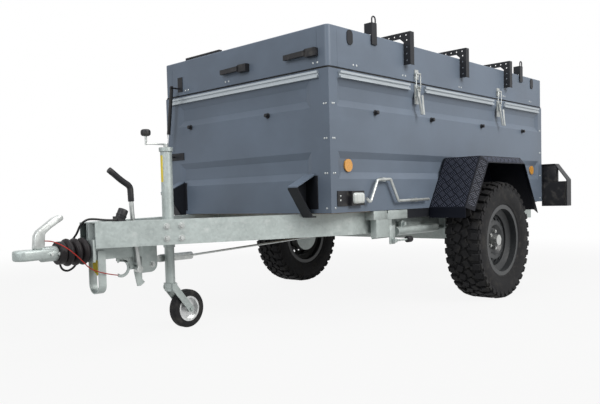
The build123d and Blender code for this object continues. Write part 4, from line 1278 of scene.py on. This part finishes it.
@dataclass
class BrakeGear:
    """Handbrake, linkage under the drawbar, plug and blank tags."""

    catalogue: Catalogue
    lever_y: float = 0.047
    lever_path: Outline = ((-0.248, -0.108), (-0.231, 0.020), (-0.217, 0.133), (-0.213, 0.226))
    grip_path: Outline = (
        (-0.2131, 0.222), (-0.2120, 0.258), (-0.2105, 0.296),
        (-0.168, 0.319), (-0.130, 0.348), (-0.096, 0.373),
    )
    tube_radius: float = 0.011
    grip_radius: float = 0.015
    grip_edge: float = 0.004
    pivot: Drum = Drum(0.018, 0.034, 24, 0.003, 2)
    plug_body: Drum = Drum(0.024, 0.047, 28, 0.003, 2)
    plug_rib: Drum = Drum(0.026, 0.008, 28, 0.002)
    rib_lift: float = 0.012
    wedge: Outline = ((-0.022, 0.0), (0.026, 0.0), (0.026, 0.024))
    wedge_wide: float = 0.044
    plug_place: Point = (-0.133, 0.070, 0.0115)
    plug_lean: Point = (-0.44, 0.0, 0.9)
    link_y: float = 0.020
    link_thick: float = 0.008
    housing_long: float = 0.260
    housing_tall: float = 0.043
    link_edge: float = 0.0015
    hook_middle: Pair = (0.094, -0.064)
    hook_radii: Pair = (0.046, 0.032)
    hook_mouth: Pair = (63.0, 49.0)
    web: Outline = (
        (0.014, 0.0), (0.059, 0.0), (0.122, -0.014), (0.122, -0.030),
        (0.060, -0.040), (0.054, -0.076), (0.014, -0.076),
    )
    arm: Outline = (
        (-0.021, -0.016), (0.024, -0.016), (0.024, -0.090), (0.008, -0.162),
        (-0.012, -0.162), (-0.036, -0.146), (-0.021, -0.130),
    )
    block_wide: float = 0.040
    block_edge: float = 0.003
    block_corners: Outline = ((-0.115, 0.0), (0.0, 0.0), (0.0, -0.143))
    block_round: Pair = (-0.075, -0.103)
    block_radius: float = 0.040
    block_bolt: Pair = (-0.085, -0.105)
    bolt: float = 0.011
    tag_shape: Outline = ((-0.022, 0.0), (0.022, 0.0), (0.022, -0.070), (0.0, -0.098), (-0.022, -0.070))
    tag_thick: float = 0.0015
    tag_drop: float = 0.022
    strip_shape: Outline = ((-0.008, 0.0), (0.008, 0.0), (0.008, 0.136), (-0.008, 0.136))
    strip_thick: float = 0.003
    strip_place: Pair = (0.028, 0.764)

    def build(self) -> None:
        """Model lever, grip, linkage, plug and tags."""
        self.front = BEAM_HIGH[0]
        self.handbrake()
        self.linkage()
        self.plug()
        self.tag()

    def handbrake(self) -> None:
        """Bend the lever's tube and the grip on it."""
        tube = self.bent(self.lever_path, self.tube_radius)
        x, z = self.lever_path[0]
        foot = self.pivot.turn(facing((self.front + x, self.link_y, SHAFT_Z + z), (0, 1, 0)))
        lever = Workbench.join([tube, foot], "brake_handle")
        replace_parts(self.catalogue.add(lever, Slot.ZINC), "handbrake_lever")
        grip = self.bent(self.grip_path, self.grip_radius)
        Workbench.soften(grip, self.grip_edge, 3).name = "brake_grip"
        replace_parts(self.catalogue.add(grip, Slot.PLASTIC), "handbrake_grip")

    def bent(self, path: Sequence[Pair], radius: float) -> Piece:
        """Bend a bar in the lever's plane, from places behind the beams' front."""
        return Workbench.bar([(self.front + x, self.lever_y, SHAFT_Z + z) for x, z in path], radius)

    def linkage(self) -> None:
        """Cut the hook, its web and the lever from plate, with the block behind them."""
        outer, inner = zip(self.hook_radii, self.hook_mouth)
        hook = arc(self.hook_middle, outer[0], outer[1], 360 - outer[1], 14)
        hook += arc(self.hook_middle, inner[0], 360 - inner[1], inner[1], 14)
        back, low = self.front - self.housing_long, BEAM_LOW[2] - self.housing_tall
        place = upright((back, self.link_y, low))
        plates = []
        for shape in (hook, self.web, self.arm):
            plates.append(Workbench.soften(Workbench.plate(shape, self.link_thick, place), self.link_edge))
        block = [*self.block_corners, *arc(self.block_round, self.block_radius, 270.0, 180.0, 8)]
        block_place = upright((back, self.block_wide / 2, BEAM_LOW[2]))
        block = Workbench.plate(block, self.block_wide, block_place)
        plates.append(Workbench.soften(block, self.block_edge, 2))
        linkage = Workbench.join(plates, "brake_hook_and_block")
        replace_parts(self.catalogue.add(linkage, Slot.GALVANISED), "brake_linkage")
        x, z = self.block_bolt
        places = [facing((back + x, self.block_wide / 2, BEAM_LOW[2] + z), (0, 1, 0))]
        bolts = Workbench.scatter(Fasteners.bolt(self.bolt), places, "brake_block_bolt")
        self.catalogue.add(bolts, Slot.ZINC)

    def plug(self) -> None:
        """Turn the parked plug with its ribbed cap."""
        lean = facing(ORIGIN, self.plug_lean)
        body = self.plug_body.turn(lean)
        rib = self.plug_rib.turn(lean @ Matrix.Translation((0.0, 0.0, self.rib_lift)))
        foot = upright((0.0, self.wedge_wide / 2, -self.plug_place[2]))
        wedge = Workbench.plate(self.wedge, self.wedge_wide, foot)
        plug = Workbench.join([body, rib, wedge], "parked_plug")
        corner = Vector((self.front, 0.0, BEAM_HIGH[2]))
        Workbench.put(plug, Matrix.Translation(corner + Vector(self.plug_place)))
        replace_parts(self.catalogue.add(plug, Slot.PLASTIC), "connector_plug")
        self.plug_piece = plug

    def tag(self) -> None:
        """Hang the blank yellow tag in the loop, and the blank strip on the jack."""
        low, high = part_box("parking_loop")
        place = upright(((low[0] + high[0]) / 2, 0.0, high[2] - self.tag_drop))
        tag = Workbench.plate(self.tag_shape, self.tag_thick, place)
        tag.name = "blank_tag"
        self.catalogue.add(tag, Slot.PLASTIC, finish=TAG_YELLOW)
        out, level = self.strip_place
        place = crosswise((joint_place("jack_leg_slide").x + out, 0.0, level))
        strip = Workbench.plate(self.strip_shape, self.strip_thick, place)
        Workbench.soften(strip).name = "blank_jack_strip"
        self.catalogue.add(strip, Slot.PLASTIC, finish=TAG_YELLOW)


@dataclass
class Cords:
    """Breakaway cable and the lead of the plug."""

    catalogue: Catalogue
    plug: Piece
    cable_thick: float = 0.005
    cable_long: float = 0.455
    lead_thick: float = 0.010
    lead_long: float = 0.529
    cable: tuple[Point, ...] = (
        (1.8883, 0.008, 0.507), (1.865, 0.014, 0.506), (1.851, 0.034, 0.500), (1.835, 0.060, 0.488),
        (1.811, 0.074, 0.470), (1.775, 0.078, 0.438), (1.739, 0.076, 0.404), (1.707, 0.070, 0.373),
        (1.661, 0.062, 0.352), (1.613, 0.056, 0.338), (1.569, 0.040, 0.328), (1.543, 0.026, 0.3225),
        (1.5254, 0.016, 0.3195),
    )
    lead: tuple[Point, ...] = (
        (1.694, -0.065, 0.4017), (1.694, -0.065, 0.3915), (1.6995, -0.068, 0.3785), (1.7135, -0.072, 0.3645),
        (1.739, -0.073, 0.354), (1.7645, -0.074, 0.3645), (1.775, -0.075, 0.390), (1.769, -0.075, 0.418),
        (1.755, -0.075, 0.446), (1.734, -0.066, 0.476), (1.717, -0.043, 0.507), (1.712, -0.018, 0.531),
        (1.713, 0.002, 0.556), (1.708, 0.024, 0.580), (1.691, 0.046, 0.595), (1.665, 0.066, 0.594),
        (1.633, 0.079, 0.589), (1.599, 0.084, 0.586), (1.5633, 0.084, 0.586),
    )

    def build(self) -> None:
        """Lay both cords with their own finishes."""
        cable = Workbench.route(self.cable, self.cable_thick / 2, "breakaway_cable")
        self.catalogue.add(cable, Slot.PLASTIC, finish=CABLE_RED)
        lead = Workbench.route(self.lead, self.lead_thick / 2, "plug_lead")
        self.catalogue.add(lead, Slot.PLASTIC, finish=LEAD_BLACK)


@dataclass
class JackCrank:
    """Crank arm on the jack with its round knob."""

    catalogue: Catalogue
    arm: float = 0.121
    rise: float = 0.016
    knob_lift: float = 0.053
    arm_section: Pair = (0.012, 0.008)
    hub: Drum = Drum(0.012, 0.022, 20, 0.002)
    stem: float = 0.006
    stem_ends: Pair = (0.007, 0.005)
    knob: Drum = Drum(0.025, 0.034, 32, 0.0125, 5)

    def build(self) -> None:
        """Bend the arm and turn the knob."""
        x = joint_place("jack_leg_slide").x
        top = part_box("jack_outer_tube")[1][2]
        hub = self.hub.turn(Matrix.Translation((x, 0.0, top)))
        level = top + self.rise
        size = (self.arm, *self.arm_section)
        arm = Workbench.block(size, (x + self.arm / 2, 0.0, level), 2 * EDGE, 2)
        stem = Drum(self.stem, self.knob_lift - self.rise + sum(self.stem_ends), 16, 0.001)
        stem = stem.turn(Matrix.Translation((x + self.arm, 0.0, level - self.stem_ends[0])))
        crank = Workbench.join([arm, hub, stem], "jack_arm")
        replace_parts(self.catalogue.add(crank, Slot.ZINC), "jack_crank")
        knob = self.knob.turn(Matrix.Translation((x + self.arm, 0.0, top + self.knob_lift)))
        knob.name = "jack_knob"
        self.catalogue.add(knob, Slot.PLASTIC)


@dataclass
class FrontGussets:
    """Folded gussets on the front wall beside the beams."""

    catalogue: Catalogue
    wide: float = 0.065
    tip: Pair = (0.140, 0.720)
    head: float = 0.782
    foot: float = 0.562
    fold: float = 0.004
    lap: float = 0.002
    toe: float = 0.026
    base_more: float = 0.034
    base_tall: float = 0.170
    base_level: float = 0.690

    def build(self) -> None:
        """Fold one gusset and set it at both beams."""
        face = BOX_HIGH[0]
        side = abs(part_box("front_gussets")[1][1]) - self.wide / 2
        pieces, tops = [], []
        (out, level), fold, lap = self.tip, self.fold, self.lap
        low = [(0.0, self.foot), (self.toe + fold, self.foot), (out, level - 3 * fold), (out, level - lap)]
        low += [(self.toe, self.foot + 2 * fold), (0.0, self.foot + 2 * fold)]
        wall = [(0.0, self.foot), (self.toe, self.foot), self.tip, (0.0, self.head)]
        top = [(0.0, self.head - fold), (out + lap, level - fold), (out + lap, level + lap)]
        top += [(lap, self.head + lap)]
        for sign in SIDES:
            centre = sign * side
            left = centre + self.wide / 2
            pieces.append(Workbench.plate(low, self.wide, upright((face, left, 0.0))))
            inner = left - self.wide + fold if sign == 1 else left
            pieces.append(Workbench.plate(wall, fold, upright((face, inner, 0.0))))
            tops.append(Workbench.plate(top, self.wide, upright((face, left, 0.0))))
            size = (fold, self.wide + self.base_more, self.base_tall)
            pieces.append(Workbench.block(size, (face + fold / 2, centre, self.base_level)))
        gussets = Workbench.join(pieces, "folded_gussets")
        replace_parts(self.catalogue.add(gussets, Slot.BLACK_STEEL), "front_gussets")
        self.catalogue.add(Workbench.join(tops, "gusset_top_plates"), Slot.PAINT)


@dataclass
class SideGear:
    """Latch levers, lamps and the holders of the corner steadies."""

    catalogue: Catalogue
    latches: Pair = (0.577, -0.486)
    latch_level: float = 1.236
    latch_wide: float = 0.018
    latch_sunk: float = 0.001
    latch_shape: Outline = (
        (0.0, 0.0), (0.004, -0.060), (0.010, -0.112), (0.014, -0.112), (0.008, -0.058), (0.004, 0.002),
    )
    lens_back: float = 0.004
    lens_edge: float = 0.015
    holder_blocks: tuple[tuple[Point, Point], ...] = (
        ((0.925, 0.638, 0.500), (0.150, 0.040, 0.130)),
        ((0.960, 0.630, 0.557), (0.128, 0.058, 0.050)),
        ((0.792, 0.6585, 0.556), (0.196, 0.003, 0.050)),
        ((0.792, 0.632, 0.576), (0.196, 0.050, 0.010)),
        ((0.848, 0.670, 0.412), (0.020, 0.030, 0.022)),
        ((0.848, 0.656, 0.444), (0.052, 0.008, 0.104)),
    )
    stay: tuple[Point, Point] = ((0.540, 0.652, 0.556), (0.300, 0.008, 0.052))
    rod_line: Pair = (0.676, 0.412)
    rod: Drum = Drum(0.006, 0.125, 16, 0.001)
    rod_start: float = 0.850
    knob: Drum = Drum(0.019, 0.044, 24, 0.006, 3)
    knob_start: float = 0.731
    lamp_back: Point = (0.044, 0.108, 0.140)
    lamp_edge: float = 0.008
    lamp_place: Point = (-0.030, 0.719, 0.796)

    def build(self) -> None:
        """Model the pieces along the lower and upper edge of the box."""
        self.latch_levers()
        self.marker_lamps()
        self.steady_holders()
        self.lamp_backs()

    def latch_levers(self) -> None:
        """Bend a flat lever over each latch."""
        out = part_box("latches")[1][1] - self.latch_sunk
        levers = []
        for x in self.latches:
            place = crosswise((AXLE_X + x - self.latch_wide / 2, out, self.latch_level))
            lever = Workbench.plate(self.latch_shape, self.latch_wide, place)
            levers.append(Workbench.soften(lever))
        self.catalogue.add(Workbench.join(levers, "latch_levers"), Slot.ZINC)

    def marker_lamps(self) -> None:
        """Round the white lenses beside the front corners."""
        low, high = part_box("marker_lenses")
        deep = high[1] - BOX_HIGH[1] - self.lens_back
        size = (high[0] - low[0], deep, high[2] - low[2])
        lenses = []
        for sign in SIDES:
            at = ((low[0] + high[0]) / 2, sign * (high[1] - deep / 2), (low[2] + high[2]) / 2)
            lenses.append(Workbench.block(size, at, self.lens_edge, 5))
        lamps = Workbench.join(lenses, "round_marker_lenses")
        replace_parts(self.catalogue.add(lamps, Slot.LENS), "marker_lenses")

    def steady_holders(self) -> None:
        """Build sleeve, end plate, outrigger and knob of each front steady."""
        steel, dark, knobs = [], [], []
        for sign in SIDES:
            for (x, y, z), size in self.holder_blocks:
                steel.append(Workbench.block(size, (AXLE_X + x, sign * y, z), 3 * EDGE, 2))
            (x, y, z), size = self.stay
            dark.append(Workbench.block(size, (AXLE_X + x, sign * y, z), 2 * EDGE))
            y, z = self.rod_line
            steel.append(self.rod.turn(facing((AXLE_X + self.rod_start, sign * y, z), (-1, 0, 0))))
            knobs.append(self.knob.turn(facing((AXLE_X + self.knob_start, sign * y, z), (-1, 0, 0))))
        self.catalogue.add(Workbench.join(steel, "steady_holders"), Slot.GALVANISED)
        self.catalogue.add(Workbench.join(dark, "fender_stays"), Slot.BLACK_STEEL)
        self.catalogue.add(Workbench.join(knobs, "steady_knobs"), Slot.PLASTIC)

    def lamp_backs(self) -> None:
        """Stand a dark housing above each rear lamp, inside its frame."""
        x, y, z = self.lamp_place
        backs = []
        for sign in SIDES:
            at = (BOX_LOW[0] + x, sign * y, z)
            backs.append(Workbench.block(self.lamp_back, at, self.lamp_edge, 2))
        self.catalogue.add(Workbench.join(backs, "lamp_backs"), Slot.PLASTIC)


@dataclass
class Fasteners:
    """Bolts, rivets and knobs on the box, lid and drawbar."""

    catalogue: Catalogue
    rivet_radius: float = 0.005
    pair: Pair = (0.021, 0.035)
    single: float = 0.030
    side_shift: float = 0.004
    wall_levels: Point = (0.784, 0.959, 1.132)
    foot_level: float = 0.608
    plate_rivets: Pair = (0.646, 0.668)
    plate_ahead: float = 1.332
    plate_out: float = 0.017
    lid_rivet: float = 0.0055
    lid_level: float = 1.341
    lid_along: tuple[float, ...] = (1.166, 0.704, 0.052, -0.587, -1.035)
    lid_across: Point = (0.576, -0.082, -0.45)
    lid_apart: float = 0.014
    knob_along: tuple[float, ...] = (0.996, 0.416, -0.231, -0.88)
    knob_across: Pair = (-0.42, 0.237)
    knob_levels: Pair = (1.110, 1.112)
    knob_collar: Drum = Drum(0.015, 0.006, 20, 0.0015)
    knob_head: Drum = Drum(0.011, 0.024, 20, 0.003, 2)
    bolt_radius: float = 0.011
    bolt_ahead: Pair = (1.995, 2.061)
    bolt_levels: Pair = (0.548, 0.489)
    beam_out: float = 0.069

    def build(self) -> None:
        """Set every fastener in its place."""
        self.wall_rivets()
        self.lid_rivets()
        self.knobs()
        self.beam_bolts()

    @staticmethod
    def rivet(radius: float) -> Piece:
        """Model a domed rivet head.

        Args:
            radius: Radius of the head.

        Returns:
            The head, standing on the origin.
        """
        Workbench.clear()
        bpy.ops.mesh.primitive_uv_sphere_add(segments=12, ring_count=8, radius=radius)
        head = bpy.context.object
        Workbench.edit(head)
        foot = (0.0, 0.0, -radius * 0.1)
        bpy.ops.mesh.bisect(plane_co=foot, plane_no=(0, 0, 1), clear_inner=True, use_fill=True)
        bpy.ops.object.mode_set(mode="OBJECT")
        head.scale = (1.0, 1.0, 0.5)
        return Workbench.settle(head)

    @staticmethod
    def bolt(radius: float) -> Piece:
        """Model a hexagon head on its washer.

        Args:
            radius: Radius over the head's corners.

        Returns:
            The bolt, standing on the origin.
        """
        washer = Drum(radius * 1.45, radius * 0.22, 20, radius * 0.06).turn()
        head = Drum(radius, radius * 0.9, 6, radius * 0.12)
        head = head.turn(Matrix.Translation((0.0, 0.0, radius * 0.2)))
        return Workbench.join([head, washer], "bolt")

    def knob(self) -> Piece:
        """Model a black tie-down knob on its collar."""
        return Workbench.join([self.knob_head.turn(), self.knob_collar.turn()], "knob")

    def wall_rivets(self) -> None:
        """Rivet the box's corner posts, in pairs on both faces of each corner."""
        places = []
        rows = [(self.foot_level, (self.single,))] + [(z, self.pair) for z in self.wall_levels]
        for z, insets in rows:
            for inset in insets:
                for sx, face in ((1, BOX_HIGH[0]), (-1, BOX_LOW[0])):
                    places += on_sides(face - sx * (inset + self.side_shift), BOX_HIGH[1], z)
                for sy in SIDES:
                    places += on_ends((BOX_LOW, BOX_HIGH), sy * (BOX_HIGH[1] - inset), z)
        for z in self.plate_rivets:
            places += on_sides(AXLE_X + self.plate_ahead, BOX_HIGH[1] + self.plate_out, z)
        rivets = Workbench.scatter(self.rivet(self.rivet_radius), places, "corner_rivets")
        self.catalogue.add(rivets, Slot.ZINC)

    def lid_rivets(self) -> None:
        """Rivet the lid's frame, in pairs along its four sides."""
        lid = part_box("lid_skirts")
        places = []
        for shift in (-self.lid_apart, self.lid_apart):
            for x in self.lid_along:
                places += on_sides(AXLE_X + x + shift, lid[1][1], self.lid_level)
            for y in self.lid_across:
                places += on_ends(lid, y + shift, self.lid_level)
        rivets = Workbench.scatter(self.rivet(self.lid_rivet), places, "lid_rivets")
        self.catalogue.add(rivets, Slot.ZINC, "lid")

    def knobs(self) -> None:
        """Set black knobs in a row on the sides and ends."""
        side_level, end_level = self.knob_levels
        places = []
        for x in self.knob_along:
            places += on_sides(AXLE_X + x, BOX_HIGH[1], side_level)
        for y in self.knob_across:
            places += on_ends((BOX_LOW, BOX_HIGH), y, end_level)
        knobs = Workbench.scatter(self.knob(), places, "panel_knobs")
        self.catalogue.add(knobs, Slot.PLASTIC)

    def beam_bolts(self) -> None:
        """Bolt the jack's clamp through both drawbar beams."""
        places = []
        for ahead in self.bolt_ahead:
            for z in self.bolt_levels:
                x = AXLE_X + ahead
                y = self.beam_out + (BEAM_HIGH[0] - x) * BEAM_SLOPE
                for sy in SIDES:
                    places.append(facing((x, sy * y, z), (BEAM_SLOPE, sy, 0.0)))
        bolts = Workbench.scatter(self.bolt(self.bolt_radius), places, "beam_bolts")
        self.catalogue.add(bolts, Slot.ZINC)


def main() -> None:
    """Build the scene in order."""
    logging.basicConfig(level=logging.INFO, format="%(name)s: %(message)s")
    bpy.context.scene.view_settings.view_transform = "Standard"
    Viewpoint().build()
    catalogue = Catalogue()
    catalogue.dress_nodes()
    brakes = BrakeGear(catalogue)
    brakes.build()
    Cords(catalogue, brakes.plug_piece).build()
    Studio().build()
    Coupling(catalogue).build()
    JackCrank(catalogue).build()
    FrontGussets(catalogue).build()
    SideGear(catalogue).build()
    RoadWheel(catalogue, "left", 1).build()
    RoadWheel(catalogue, "right", -1).build()
    FenderPlate(catalogue).build()
    Fasteners(catalogue).build()


if __name__ == "__main__":
    main()
